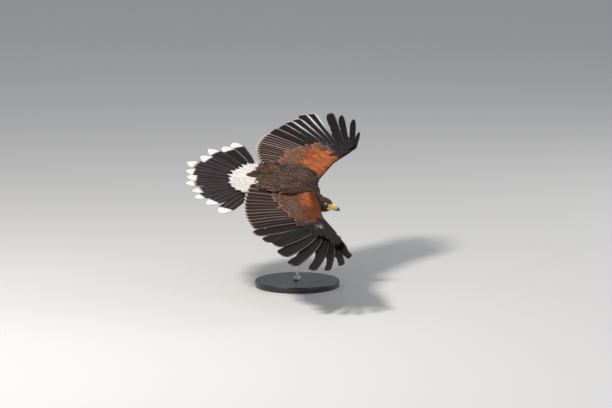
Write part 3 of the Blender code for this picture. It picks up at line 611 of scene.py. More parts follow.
def on_skin(points):
    """The nearest places on the skin and the outward unit vectors there, by two Shrinkwraps."""
    probe, wrap = make_probe(points)
    wrap.wrap_method = "NEAREST_SURFACEPOINT"
    found = []
    for mode, offset in (("ON_SURFACE", 0.0), ("ABOVE_SURFACE", 0.002)):
        wrap.wrap_mode, wrap.offset = mode, offset
        found.append(probe_points(probe, points.shape))
    remove_helper(probe)
    return found[0], unit(found[1] - found[0])


print("probe:", [v.round(4) for v in on_skin(np.array([[0.0, 0.0, 0.1]]))])

# %% [markdown]
# ## Markings
# A bird's pattern belongs to places on its body. One function gives the colour at any place,
# and both the skin and the feathers ask it, so that a gap in the coat never shows a wrong colour.
# Colours are linear light values of the adult bird: dark chocolate brown, rust shoulders and thighs, white
# at both ends of the tail. On the right wing the rust is darkened by painted shade near the neck and wrist.

# %% Markings
BROWN = np.array((0.056, 0.031, 0.025))
DARK_BROWN = np.array((0.022, 0.014, 0.012))
BLACKISH = np.array((0.0125, 0.0095, 0.0102))
RUST = np.array((0.56, 0.14, 0.036))
RUST_DARK = np.array((0.24, 0.052, 0.016))
RUST_PALE = np.array((0.64, 0.29, 0.13))
CHESTNUT = np.array((0.165, 0.046, 0.018))
WHITE = np.array((0.88, 0.855, 0.815))
HEAD_BROWN = np.array((0.08, 0.048, 0.042))
TAN = np.array((0.4, 0.235, 0.155))
PATCH_OUT = (0.03, 0.045, 0.06, 0.08, 0.1, 0.15, 0.2, 0.235, 0.262)
PATCH_REAR = {
    "left": (0.054, 0.04, 0.027, 0.008, -0.008, -0.014, -0.016, -0.01, 0.02),
    "right": (0.05, 0.034, 0.018, 0.004, 0.004, 0.02, 0.044, 0.066, 0.09),
}
HAND_AHEAD = (-0.08, 0.017, 0.034, 0.058, 0.07, 0.09)
HAND_OUT = (0.33, 0.295, 0.275, 0.262, 0.24, 0.21)
HAND_OUT_RIGHT = 0.232


def wobble(points, size, seed):
    """A smooth value from -1 to 1 that wanders over a few times the size: a sum of three sines."""
    turn = np.random.default_rng(seed).normal(size=(3, 3))
    turn = turn / np.linalg.norm(turn, axis=1, keepdims=True) / size
    phase = points @ turn.T * 2 * np.pi + np.arange(3) * 1.7 + seed
    return np.sin(phase).mean(axis=-1) * 1.4


def hand_from(points):
    """How far out the black hand starts: nearer the body towards the leading edge on the left wing."""
    left = np.interp(points[..., 0], HAND_AHEAD, HAND_OUT)
    return np.where(points[..., 1] > 0, left, HAND_OUT_RIGHT)


def rust_share(points):
    """How far a place lies inside the rust shoulder patch, from 0 to 1."""
    out = np.abs(points[..., 1])
    rear_left, rear_right = (np.interp(out, PATCH_OUT, PATCH_REAR[side]) for side in ("left", "right"))
    rear = np.where(points[..., 1] > 0, rear_left, rear_right) + 0.006 * wobble(points, 0.03, 3)
    right_limit = 0.212 + 0.3 * np.clip(0.09 - points[..., 0], 0.0, 0.12)
    limit = np.where(points[..., 1] > 0, hand_from(points) - 0.018, right_limit)
    limit = limit + 0.008 * wobble(points, 0.02, 4)
    outer = 1 - ramp(out, limit - 0.012, limit + 0.01)
    return ramp(points[..., 0], rear - 0.008, rear + 0.012) * ramp(out, 0.034, 0.046) * outer


def painted_shade_share(points):
    """Painted shade on the right wing's rust: the neck's shadow on its front edge, darker out to its wrist."""
    out = np.abs(points[..., 1])
    edge = points[..., 0] - (0.044 + 0.28 * (out - 0.04))
    wrist = out + 0.006 * wobble(points, 0.02, 7)
    return 0.9 * np.maximum(ramp(edge, -0.026, -0.008), ramp(wrist, 0.13, 0.156)) * (points[..., 1] < 0)


def markings(points, facing):
    """The plumage colour at places in bird axes, with facing 1 on the upper side and -1 below."""
    x, y, z = points[..., 0], np.abs(points[..., 1]), points[..., 2]
    colour = blend(BROWN, DARK_BROWN, ramp(-facing, -0.2, 0.4))
    colour = colour * (1 + 0.25 * wobble(points, 0.02, 5))[..., None]
    rust = rust_share(points)
    patch = blend(RUST, RUST_DARK, 0.38 + 0.36 * wobble(points, 0.022, 9))
    soft = rust_share(points + np.array((0.055, 0.0, 0.0))) * (1 - rust)
    soft = soft * (0.3 + 0.2 * wobble(points, 0.014, 8))
    soft = soft * np.where(points[..., 1] > 0, ramp(y, 0.085, 0.15), 0.4 * ramp(y, 0.07, 0.1))
    # Painted shade: the right wing's rust is darkened where the neck's shadow falls and out towards the wrist.
    patch = blend(patch, RUST_DARK * 0.42, painted_shade_share(points))
    colour = blend(colour, patch, np.maximum(rust, soft) * ramp(facing, -0.3, 0.2))
    under = ramp(y, 0.05, 0.08) * (1 - ramp(-x, 0.02, 0.05)) * ramp(-facing, -0.2, 0.3)
    colour = blend(colour, CHESTNUT, 0.85 * under)
    start = hand_from(points)
    hand = ramp(y, start, start + 0.02)
    colour = blend(colour, BLACKISH * 1.2, hand * (1 - 0.6 * under))
    head = ramp(x, 0.052, 0.066) * (1 - ramp(y, 0.085, 0.1))
    colour = blend(colour, HEAD_BROWN * (1 + 0.3 * wobble(points, 0.008, 2))[..., None], head)
    notch = 0.034 * np.exp(-(((points[..., 1] - 0.058) / 0.024) ** 2))
    rump = (0.012 + notch - 0.024 * ramp(-points[..., 1], 0.01, 0.032)) * ramp(facing, -0.1, 0.3)
    rump = rump + 0.004 * wobble(points, 0.015, 6)
    base = ramp(-x, 0.116 + rump, 0.122 + rump) * (1 - ramp(y, 0.11, 0.13))
    vent = ramp(-x, 0.082, 0.1) * ramp(-z, 0.03, 0.038) * ramp(-facing, 0.0, 0.3)
    return blend(colour, WHITE, np.maximum(base, vent * (1 - ramp(y, 0.04, 0.06))))


print("patch at the shoulder:", markings(np.array([[0.05, 0.12, -0.01]]), np.array([1.0])).round(3))

# %% [markdown]
# ## Shader arithmetic
# A node tree for a feather is mostly arithmetic on where a point lies in its blade. One small class
# wraps a socket so that such sums can be written as Python expressions, and one method adds
# any other node. Colours are mixed with Mix nodes, because a Math node would turn them grey.

# %% Sockets that add and multiply
class Wire:
    """A socket in a node tree. Each operator adds one Math node and gives its result."""

    def __init__(self, tree, socket):
        self.tree, self.socket = tree, socket

    def sum(self, operation, *others):
        """One Math node over this socket and the others."""
        node = self.tree.nodes.new("ShaderNodeMath")
        node.operation = operation
        for socket, value in zip(node.inputs, (self, *others)):
            feed(self.tree, socket, value)
        return Wire(self.tree, node.outputs[0])

    def __add__(self, other):
        return self.sum("ADD", other)

    def __sub__(self, other):
        return self.sum("SUBTRACT", other)

    def __rsub__(self, other):
        return (self * -1.0) + other

    def __mul__(self, other):
        return self.sum("MULTIPLY", other)

    __radd__ = __add__
    __rmul__ = __mul__

    def step(self, low, high):
        """A smooth step from 0 at low to 1 at high."""
        node = self.tree.nodes.new("ShaderNodeMapRange")
        node.interpolation_type = "SMOOTHSTEP"
        for name, value in (("Value", self), ("From Min", low), ("From Max", high)):
            feed(self.tree, node.inputs[name], value)
        return Wire(self.tree, node.outputs["Result"])


def feed(tree, socket, value):
    """Links a wire to a socket, or sets the socket's own value."""
    if isinstance(value, Wire):
        tree.links.new(value.socket, socket)
    elif hasattr(socket.default_value, "__len__") and len(socket.default_value) == 4 and len(value) == 3:
        socket.default_value = (*value, 1.0)
    else:
        socket.default_value = value


class Finish:
    """A material with its Principled shader and short ways to add nodes."""

    def __init__(self, name, **constants):
        self.material = bpy.data.materials.new(name)
        self.material.use_nodes = True
        self.tree = self.material.node_tree
        self.shader = self.tree.nodes["Principled BSDF"]
        self.material.diffuse_color = (*constants.get("Base_Color", (0.3, 0.3, 0.3)), 1.0)
        self.set(**constants)

    def node(self, kind, settings=None, **values):
        """Adds a node: its settings first, then its sockets' values or links."""
        node = self.tree.nodes.new(kind)
        for name, value in (settings or {}).items():
            setattr(node, name, value)
        for key, value in values.items():
            feed(self.tree, node.inputs[key.replace("_", " ")], value)
        return node

    def out(self, node, name):
        """A node's named output."""
        return Wire(self.tree, node.outputs[name])

    def split(self, vector):
        """The three numbers of a vector."""
        node = self.node("ShaderNodeSeparateXYZ", Vector=vector)
        return [self.out(node, axis) for axis in "XYZ"]

    def join(self, x, y, z):
        """A vector of three numbers."""
        return self.out(self.node("ShaderNodeCombineXYZ", X=x, Y=y, Z=z), "Vector")

    def place(self):
        """Object coordinates."""
        return self.out(self.node("ShaderNodeTexCoord"), "Object")

    def noise(self, vector, scale, detail=3.0, rough=0.5):
        """Fractal noise from 0 to 1."""
        node = self.node("ShaderNodeTexNoise", Vector=vector, Scale=scale, Detail=detail, Roughness=rough)
        return self.out(node, "Fac")

    def cell_edges(self, vector, scale):
        """How far a place is from the nearest edge between rounded cells."""
        options = {"feature": "DISTANCE_TO_EDGE"}
        return self.out(self.node("ShaderNodeTexVoronoi", options, Vector=vector, Scale=scale), "Distance")

    def colour(self, name):
        """A colour that the mesh carries."""
        return self.out(self.node("ShaderNodeAttribute", {"attribute_name": name}), "Color")

    def amount(self, name):
        """A colour's red value, where the mesh keeps one number for a place."""
        return self.split(self.colour(name))[0]

    def mix(self, share, first, second, way="MIX"):
        """A colour between first and second, by share, blended in the named way."""
        node = self.tree.nodes.new("ShaderNodeMix")
        node.data_type, node.blend_type = "RGBA", way
        for index, value in ((0, share), (6, first), (7, second)):
            feed(self.tree, node.inputs[index], value)
        return Wire(self.tree, node.outputs[2])

    def shade(self, colour, tone):
        """A colour times a tone, where 1 leaves it as it is."""
        return self.mix(1.0, colour, self.join(tone, tone, tone), "MULTIPLY")

    def bump(self, height, distance, strength=1.0, over=None):
        """A normal bent by a height."""
        node = self.node("ShaderNodeBump", Height=height, Distance=distance, Strength=strength)
        if over is not None:
            feed(self.tree, node.inputs["Normal"], over)
        return self.out(node, "Normal")

    def set(self, **values):
        """Feeds the shader's sockets and gives back the material."""
        for key, value in values.items():
            feed(self.tree, self.shader.inputs[key.replace("_", " ")], value)
        return self.material


print("shader helpers ready")

# %% [markdown]
# ## The finish of a feather
# A feather is a shaft with two vanes of fine barbs that run out and forward. Its own map has u across
# the blade and v from root to tip, so the shaft is the line u = 0.5 and the barbs are slanting lines.
# The colours come with the mesh: one for the blade and one for its fringe, which is worn paler at
# the edge and also carries painted light: painted highlights on some edges, and a painted sheen stripe
# on dark vanes. Barbs are a bump and a slight change of tone.

# %% Feather finish
def feather_finish(name, barbs, shaft=(0.05, 0.04, 0.035), shaft_share=0.35, roughness=0.62, sheen=0.04,
                   lead_edge=(0.7, 0.97), trail_edge=(0.7, 0.97), tip_edge=(0.86, 0.985), band=0.0,
                   broad=0.0):
    """Vanes of barbs with a pale fringe.

    Each edge pair says where the fringe starts and is full: across the
    leading vane, across the trailing vane, and along the blade. broad widens the fringe where it is
    bright, which takes in the painted highlights, and band is how strong a painted sheen is: a paler
    stripe down the middle of a dark vane.
    """
    look = {"Sheen_Weight": sheen, "Sheen_Roughness": 0.5, "Specular_IOR_Level": 0.1}
    finish = Finish(name, Roughness=roughness, **look)
    vane = finish.out(finish.node("ShaderNodeUVMap", {"uv_map": "Vane"}), "UV")
    u, v, _ = finish.split(vane)
    off = (u - 0.5).sum("ABSOLUTE") * 2.0
    slant = v * barbs - off * (barbs * 0.09)
    wander = finish.noise(finish.place(), 90.0, 2.0)
    lines = (slant * math.tau + wander * 5.0).sum("SINE") * 0.5 + 0.5
    streak = finish.noise(finish.join(slant * 0.5, off * 1.2, wander), 1.0, 3.0, 0.6)
    blade = finish.colour("Plumage")
    tone = (streak - 0.5) * 0.9 + 1.0 - lines * 0.12
    blade = finish.shade(blade, tone)
    leading = u.step(0.48, 0.52)
    bright = finish.amount("Fringe")
    edge = (off + bright * broad).step(*lead_edge) * leading + off.step(*trail_edge) * (1.0 - leading)
    fringe = edge.sum("MAXIMUM", v.step(*tip_edge)) * (streak * 0.7 + 0.5)
    # Painted sheen: a paler stripe down the middle of each dark vane, in the fringe colour.
    if band:
        painted_sheen_stripe = off.step(0.12, 0.4) * (1.0 - off.step(0.4, 0.72)) * (1.0 - bright.step(0.25, 0.5))
        fringe = fringe.sum("MAXIMUM", painted_sheen_stripe * (streak * 1.2 - 0.1) * band)
    blade = finish.mix(fringe, blade, finish.colour("Fringe"))
    rib = 1.0 - off.step(0.02, 0.09)
    blade = finish.mix(rib * (1.0 - v.step(0.75, 0.97)) * shaft_share, blade, shaft)
    normal = finish.bump(lines * 0.6 + streak * 0.5 + rib * 1.5, 0.0004, 0.55)
    return finish.set(Base_Color=blade, Normal=normal)


plume = feather_finish("contour_feathers", 26.0)
remex_finish = feather_finish(
    "wing_feathers", 150.0, (0.055, 0.04, 0.036), 0.35, 0.55, 0.03,
    lead_edge=(0.66, 0.94), trail_edge=(0.9, 0.99), tip_edge=(0.965, 0.992), broad=0.5,
)
covert_finish = feather_finish(
    "wing_coverts", 60.0, (0.1, 0.07, 0.055), 0.35, 0.58, 0.03,
    lead_edge=(0.66, 0.96), trail_edge=(0.66, 0.96), tip_edge=(0.86, 0.97),
)
# The tail feathers carry the painted sheen stripe, at half strength.
rectrix_finish = feather_finish(
    "tail_feathers", 150.0, (0.02, 0.016, 0.015), 0.6, 0.52, 0.03,
    lead_edge=(0.8, 0.97), trail_edge=(0.8, 0.97), tip_edge=(0.97, 0.99), band=0.5,
)
print("feather finishes:", len(bpy.data.materials))

# %% [markdown]
# ## The skin's finish
# Where the coat parts, a bird shows down in the colours of the feathers over it. The skin's points take
# their colours from the markings, and a fine noise gives them the grain of down.

# %% Skin finish
def skin_finish():
    """Down between the feathers: the markings times a fine noise, which is a bump as well."""
    finish = Finish("skin_under_coat", Roughness=0.85)
    grain = finish.noise(finish.place(), 420.0, 4.0, 0.6)
    under = finish.shade(finish.colour("Plumage"), grain * 0.9 + 0.3)
    return finish.set(Base_Color=under, Normal=finish.bump(grain, 0.0006, 0.6))


flesh_points, flesh_normals = read(flesh.data, "co"), read(flesh.data, "normal")
skin_mesh = flesh.data.copy()
skin_mesh.vertices.foreach_set("co", to_world(flesh_points).astype(np.float32).ravel())
paint(skin_mesh, "Plumage", markings(flesh_points, flesh_normals[:, 2]))
skin_mesh.update()
finish_piece(link("skin", skin_mesh), skin_finish(), "plumage", "torso", "neck", "head", "thigh_left", "thigh_right")
print("skin triangles:", sum(len(face.vertices) - 2 for face in skin_mesh.polygons))

# %% [markdown]
# ## Feathers as closed blades
# Every feather, from a flight feather to the smallest tuft, is a thin lens: a middle sheet of
# points, thickened most at the shaft and not at all at its edges. Thousands of them go into one
# mesh as one array with four sides: feather, station along it, column across it, and x, y, z.

# %% Blade builder
def blade_mesh(name, sheet, out, thick, blade, fringe, cells, patch=0.003, material=plume, slot="plumage",
               nodes=(), flip=False):
    """One mesh of closed blades.

    sheet and out are (feathers, stations, columns, 3). A point above is sheet + out * thick / 2 * (1 - b^2),
    where b runs from -1 to 1 across; below it is minus. blade and fringe are colours for each feather or for
    each station of it. cells gives each feather's place in the bake map, and patch the size it has there.
    """
    count, stations, columns = sheet.shape[:3]
    b = np.linspace(-1.0, 1.0, columns)
    thick = np.broadcast_to(thick, (count, stations))[..., None, None]
    lens = out * (thick / 2 * (1 - b**2)[:, None])
    ring = np.concatenate([sheet + lens, (sheet - lens)[:, :, -2:0:-1]], axis=2)
    size = ring.shape[2]
    u = np.concatenate([(b + 1) / 2, (b[-2:0:-1] + 1) / 2])
    v = steps(stations)
    vane = pack(u, v[:, None], np.zeros((count, 1, 1)))[..., :2]
    bake = cells[:, None, None] + (vane - 0.5) * patch
    offset = (np.arange(count) * stations * size)[:, None, None]
    faces = [(group + offset).reshape(-1, group.shape[1]) for group in grid_faces(stations, size)]
    faces = [group[:, ::-1] for group in faces] if flip else faces

    def spread(colour):
        """A colour for each feather or station, repeated for every point."""
        colour = np.asarray(colour, float)
        colour = colour[:, None] if colour.ndim == 2 else colour
        return np.broadcast_to(colour[:, :, None], (count, stations, size, 3))

    colours = {"Plumage": spread(blade), "Fringe": spread(fringe)}
    made = make_mesh(name, ring, faces, {"Vane": vane, "OFBake": bake}, colours)
    finish_piece(made, material, slot, *nodes)
    print(name, count, "feathers,", count * (2 * (stations - 1) * size + 2 * (size - 2)), "triangles")
    return made


def outline(v, root, full, tip, point=0.5):
    """A blade's half width from 0 to 1, which widens from root until full and rounds off over its tip share.

    The end is 1 minus the squared share, to the power point: 0.5 is round, and 1 is pointed.
    """
    grow = root + (1 - root) * ramp(v, 0.0, full)
    end = np.clip((v - (1 - tip)) / tip, 0.0, 1.0)
    return grow * np.maximum(1 - end**2, 0.0) ** point + 0.04 * end


print("blade builder ready")

# %% [markdown]
# ## Flight feathers
# The long feathers make the wing's outline, so they get fine blades: narrow ahead of the shaft and
# broad behind it, with cut-in outer primaries that stand apart like fingers. Each one lies over
# its neighbour nearer the tip, and small splits open along the trailing edge where barbs have parted.

# %% Flight feathers
REMEX_STATIONS, REMEX_COLUMNS = 44, 9
REMEX_WIDTH = 0.036
VANE_THICK = (0.0009, 0.0004)
STACK_STEP = 0.0014
MOST_TILT = 0.22
BREADTH_AT = (9, 12, 13, 16, 19)
BREADTH = {"left": (1.0, 1.15, 1.32, 1.32, 1.12), "right": (1.0, 1.28, 1.42, 1.32, 1.0)}
# Where the notched fingers start, over how many feathers the notch grows, its depth, and how pointed
# they are.
FINGERS = {"left": (5.0, 2.0, 0.46, 0.7), "right": (3.0, 3.0, 0.4, 0.0)}
# Painted highlight: near-white fringes on the left wing's inner primaries stand for light glancing off their edges.
PAINTED_SHEEN_AT = (12, 13, 14, 15, 16, 17, 18, 19, 20)
PAINTED_SHEEN_SHARE = (0.0, 0.25, 0.6, 0.9, 0.85, 1.0, 1.0, 0.15, 0.0)
PINK_FRINGE, DUSK_FRINGE = np.array((0.46, 0.31, 0.28)), np.array((0.085, 0.062, 0.06))
CREAM, WORN_CREAM, PAINTED_SHEEN_FRINGE = (0.8, 0.7, 0.58), (0.62, 0.52, 0.42), (0.95, 0.91, 0.94)


def shaft_frame(axes, lean=1.0):
    """Unit vectors along, across and up for rows of shafts, and how steeply each blade is tipped.

    Across is the way to the next shaft made square to this one, and up is square to both. The slope is
    the stacking step divided by the shafts' spacing, so neighbours clear each other by one step, and
    lean turns it to the other side where it is -1.
    """
    along = unit(np.gradient(axes, axis=1))
    spread = np.gradient(axes, axis=0)
    spread = spread - along * (spread * along).sum(axis=2, keepdims=True)
    flat = MOST_TILT * np.linalg.norm(spread[..., :2], axis=2)
    spread[..., 2] = np.clip(spread[..., 2], -flat, flat)
    spacing = np.linalg.norm(spread, axis=2, keepdims=True)
    across = spread / spacing
    up = np.cross(across, along)
    up = up * np.sign(up[..., 2:3])
    return across, up, STACK_STEP / np.maximum(spacing, 0.006) * np.reshape(lean, (-1, 1, 1))


def flight_blades(axes, lead, trail, columns, camber, lean=1.0):
    """Sheets for flight feathers: b from -1 (trailing) to 1 (leading) across, arched by camber."""
    across, up, slope = shaft_frame(axes, lean)
    b = np.linspace(-1.0, 1.0, columns)
    reach = np.where(b > 0, b * lead[..., None], b * trail[..., None])
    way = across + up * slope
    sheet = axes[:, :, None] + way[:, :, None] * reach[..., None]
    arch = camber * (1 - b**2) * (lead + trail)[..., None]
    return sheet + up[:, :, None] * arch[..., None], np.broadcast_to(up[:, :, None], sheet.shape)


def bake_row(count):
    """Bake-map places for a row of long feathers side by side, and the size that each has there."""
    return pack((np.arange(count) + 0.5) / count, 0.5), np.array((0.9 / count, 0.96))


def make_remiges(side):
    """One wing's flight feathers: broad ones on the arm, and notched ones that stand apart at the tip."""
    left = side == "left"
    v = steps(REMEX_STATIONS)
    axes = remex_shafts(side, v) * (1.0, SIDES[side], 1.0)
    index = np.arange(REMIGES)
    first, grows, depth, point = FINGERS[side]
    finger = np.clip((index - SECONDARIES - first) / grows, 0.0, 1.0)
    width = REMEX_WIDTH * np.interp(index, BREADTH_AT, BREADTH[side])
    width[-1] *= 0.8
    length = np.linalg.norm(axes[:, -1] - axes[:, 0], axis=1)
    tip = np.clip(0.55 * width / length, 0.05, 0.2) * (1 + point * finger)
    shape = width[:, None] * np.stack([outline(v, 0.12, 0.35, share) for share in tip])
    shape = shape * (1 - finger[:, None] * depth * ramp(v, 0.42, 0.66))
    gaps = 0.45 + 0.5 * draw.random((REMIGES, 3))[:, :, None]
    split = 0.1 * np.exp(-(((v - gaps) / 0.016) ** 2)).sum(axis=1)
    sheet, out = flight_blades(axes, 0.34 * shape, 0.66 * shape * (1 - split), REMEX_COLUMNS, 0.035)
    tone = 0.88 + 0.24 * draw.random(REMIGES)
    # Painted light: on the left wing the blades stay brown and the pink fringes reach two feathers further out; on
    # the right wing the pink fringes are dimmed to about half, as painted shade.
    lit_wing_shift = 2.0 if left else 0.0
    blade = blend(BROWN * 0.7, DARK_BROWN, ramp(index, 0, 9))
    blade = blend(blade, BLACKISH, ramp(index, 9 + lit_wing_shift, 13 + lit_wing_shift)) * tone[:, None]
    pink, dusk = (PINK_FRINGE, DUSK_FRINGE) if left else (PINK_FRINGE * 0.52, DUSK_FRINGE * 1.9)
    fringe = blend(pink, dusk, ramp(index, 8 + lit_wing_shift, 14 + lit_wing_shift))
    fringe = fringe * (0.65 + 0.7 * draw.random(REMIGES))[:, None]
    blade, fringe = (np.repeat(rows[:, None], REMEX_STATIONS, axis=1) for rows in (blade, fringe))
    cream = ramp(v, 0.94, 0.975) * (1 - ramp(index, 12, 14))[:, None]
    fringe = blend(fringe, CREAM, 0.9 * cream)
    blade = blend(blade, WORN_CREAM, 0.8 * ramp(v, 0.965, 0.985) * cream)
    # Painted highlight: the left wing's inner primaries get near-white fringes along their outer half.
    if left:
        fringe = blend(fringe, PAINTED_SHEEN_FRINGE, np.interp(index, PAINTED_SHEEN_AT, PAINTED_SHEEN_SHARE)[:, None] * ramp(v, 0.4, 0.84))
    return blade_mesh(
        "remiges_" + side, sheet, out, np.linspace(*VANE_THICK, REMEX_STATIONS), blade, fringe,
        *bake_row(REMIGES), remex_finish, "wing_feathers", ("wing_" + side,), flip=left,
    )


for wing_side in SIDES:
    make_remiges(wing_side)

# %% [markdown]
# ## The tail
# Twelve broad feathers are spread into a fan for the turn, the middle pair on top. They are nearly
# black with a pure white band at the root and a white end on each.

# %% Tail feathers
TAIL_PIVOT = np.array((-0.112, 0.0, -0.006))
RECTRICES = 12
TAIL_REACH, TAIL_WIDTH = 0.254, 0.044
TAIL_LEFT, TAIL_RIGHT = math.radians(62.0), math.radians(66.0)
TAIL_STATIONS = 40
# Colour of the tail feathers' pale edges, which the finish also uses for the painted sheen stripe on each dark vane.
TAIL_EDGE_AND_SHEEN = (0.2, 0.15, 0.16)
TAIL_STRAY = (-1.5, 2.4, 4.2, 3.0, 5.4, 3.8, 1.2, 2.2, 3.0, 2.6, 1.4, -1.4)
TAIL_UNEVEN = (0.04, -0.045, -0.04, -0.085, -0.06, -0.075, -0.037, 0.034, -0.019, 0.05, 0.0, 0.052)


def tail_shafts(places):
    """Shafts fanned from the pivot, a touch shorter and lower towards the outer ones."""
    t = steps(RECTRICES)
    angle = -TAIL_RIGHT + (TAIL_LEFT + TAIL_RIGHT) * t + np.radians(TAIL_STRAY)
    out = np.abs(2 * t - 1)
    reach = TAIL_REACH * (1 - 0.03 * out**2) * (1 + np.array(TAIL_UNEVEN))
    along = pack(-np.cos(angle), np.sin(angle), 0.0)
    run = 0.02 + (reach - 0.02)[:, None] * places[None]
    axes = TAIL_PIVOT + along[:, None] * run[..., None]
    axes[..., 2] += (-0.004 * out[:, None] ** 2 + 0.018) * places[None]
    axes[RECTRICES // 2, :, 2] += STACK_STEP
    return axes


def make_tail():
    """The twelve tail feathers, white at the root and at the tip."""
    v = steps(TAIL_STATIONS)
    index = np.arange(RECTRICES)
    tip = 0.14 + 0.08 * draw.random(RECTRICES)
    shape = np.stack([outline(v, 0.12, 0.62, share, 0.75) for share in tip])
    shape = shape * (0.86 + 0.14 * ramp(v, 0.3, 0.8))
    half = TAIL_WIDTH / 2 * shape * np.interp(index, (0, 1, 2, 11), (1.22, 1.16, 1.08, 1.08))[:, None]
    lean = np.where(index < RECTRICES / 2, -1.0, 1.0)
    sheet, out = flight_blades(tail_shafts(v), half, half, 9, 0.02, lean)
    band = 0.872 + 0.014 * draw.normal(size=(RECTRICES, 1)).clip(-1.5, 1.5)
    white = np.maximum(1 - ramp(v, 0.28, 0.34)[None], ramp(v[None], band - 0.006, band + 0.006))
    dark = BLACKISH * 1.3 * (0.85 + 0.3 * draw.random(RECTRICES))[:, None, None]
    blade = blend(np.broadcast_to(dark, (RECTRICES, TAIL_STATIONS, 3)), WHITE, white)
    edge = blend(np.broadcast_to(TAIL_EDGE_AND_SHEEN, blade.shape), WHITE, white)
    edge = blend(edge, WHITE, np.interp(index, (8, 9, 10, 11), (0.0, 0.35, 0.9, 0.5))[:, None])
    return blade_mesh(
        "rectrices", sheet, out, np.linspace(*VANE_THICK, TAIL_STATIONS), blade, edge,
        *bake_row(RECTRICES), rectrix_finish, "tail_feathers", ("tail",), flip=True,
    )


make_tail()

# %% [markdown]
# ## Coverts on the wings
# Short feathers cover the roots of the long ones in rows like roof tiles: small ones on the arm,
# then a middle row and a greater row that ends half way down the flight feathers. Each feather is
# laid on the wing's surface by its two numbers, so it bends over the flesh and out over the shafts.

# %% Covert rows
def lay_on(surface, back, across, length, width, detail, lift, base, slope, profile):
    """Sheets of feathers laid on a surface of two numbers, and the directions square to it.

    A station is back plus its share of the length, and a column is across plus its share of the width, both
    turned from metres into the surface's numbers by its own stretch there. The sheet stands off by base,
    plus lift times the square of the share along it, plus the slope across.
    """
    stations, columns = detail
    a = steps(stations)
    b = np.linspace(-1.0, 1.0, columns)
    eps = 0.01
    rows = surface.shifted(back[:, None], across[:, None], a[None] * length[:, None])
    middle = surface(rows, across[:, None])
    aside = surface(rows, np.clip(across[:, None] + eps, 0, 1))
    spread = np.maximum(np.linalg.norm(aside - middle, axis=-1) / eps, 0.08)
    half = (width / 2)[:, None] * outline(a, *profile)[None] / spread
    columns_at = np.clip(across[:, None, None] + half[..., None] * b, 0.0, 1.0)
    rows = np.broadcast_to(rows[..., None], columns_at.shape)
    place = surface(rows, columns_at)
    down = surface(rows + eps, columns_at) - surface(rows - eps, columns_at)
    over = surface(rows, np.clip(columns_at + eps, 0, 1)) - surface(rows, np.clip(columns_at - eps, 0, 1))
    out = unit(np.cross(over, down))
    facing = surface.face * np.sign(out[..., 2:3])
    out = out * np.where(facing == 0, 1.0, facing)
    arch = 0.05 * width[:, None, None] * (1 - b**2)
    height = base + lift * a[:, None] ** 2 + slope * b + arch
    return place + out * height[..., None], out


def lattice(rows, columns, jitter):
    """A grid of two numbers in 0 to 1, every second row shifted by half a step, with a little scatter."""
    s, t = np.meshgrid((np.arange(rows) + 0.5) / rows, (np.arange(columns) + 0.5) / columns, indexing="ij")
    t = t + ((np.arange(rows) % 2) * 0.5 / columns)[:, None]
    s = s + jitter / rows * draw.normal(size=s.shape)
    t = t + jitter / columns * draw.normal(size=t.shape)
    return np.clip(s, 0.001, 0.999).ravel(), np.clip(t, 0.001, 0.999).ravel()


GREATER_LENGTHS = {"left": (0.096, 0.11, 0.112, 0.07), "right": (0.088, 0.084, 0.07, 0.064)}
# The white fleck at each thumb: its place, its radius, and how white the blades themselves get.
FLECKS = {"left": ((0.058, 0.279), 0.01, 0.6), "right": ((0.092, -0.242), 0.0085, 0.1)}


def covert_row(name, side, face, back, across, length, width, lift, base, detail, material, slope=0.0004,
               profile=(0.45, 0.4, 0.5)):
    """Rows of coverts on one face of a wing, coloured by where their tips come to lie."""
    left, above, count = side == "left", face > 0, len(across)
    back, length, width = (np.broadcast_to(values, count) for values in (back, length, width))
    surface = wing_faces[side, face]
    sheet, out = lay_on(surface, back, across, length, width, detail, lift, base, slope, profile)
    root = surface(surface.shifted(back, across, 0.75 * length), across)
    rust = rust_share(root) * above
    tone = (1.0 + (0.16 + 0.3 * rust) * draw.uniform(-1.0, 1.0, count))[:, None]
    colour = markings(root, np.full(count, float(face)))
    start = hand_from(root)
    hand = ramp(root[:, 1], start, start + 0.02) if left and above else ramp(across, 0.56, 0.64)
    colour = blend(colour, BLACKISH * 1.3, hand * ramp(back, -0.3, 0.05))
    behind = (1 - hand) * ramp(back, -0.4, -0.1) * (1 - rust) * above
    # Partly painted light: the tan tint is the feathers' own, but it is stronger on the left wing than on the right.
    colour = blend(colour, TAN * (0.62, 0.52, 0.5), (0.5 if left else 0.3) * behind) * tone
    worn = 0.45 + 0.5 * draw.random(count)
    pale = blend(blend(colour, TAN, worn), blend(colour, RUST_PALE, 0.45), rust)
    pale = blend(pale, colour * 1.9 + 0.01, hand)
    # Painted shade: the pale fringes of the rust coverts are dulled under the same painted shadow.
    pale = blend(pale, colour * 1.3, 0.9 * painted_shade_share(root) * rust)
    centre, radius, white = FLECKS[side]
    spot = np.exp(-(((root[:, :2] - centre) / radius) ** 2).sum(axis=1)) * above
    pale = blend(pale, WHITE, np.clip(spot * 1.5, 0.0, 1.0))
    colour = blend(colour, WHITE, white * ramp(spot, 0.3, 0.6))
    cells = pack(0.02 + 0.96 * across, 0.02 + 0.48 * (back + 1))
    flip = SIDES[side] * face > 0
    return blade_mesh(f"{name}_{side}", sheet, out, 0.0006, colour, pale, cells, material=material, flip=flip)


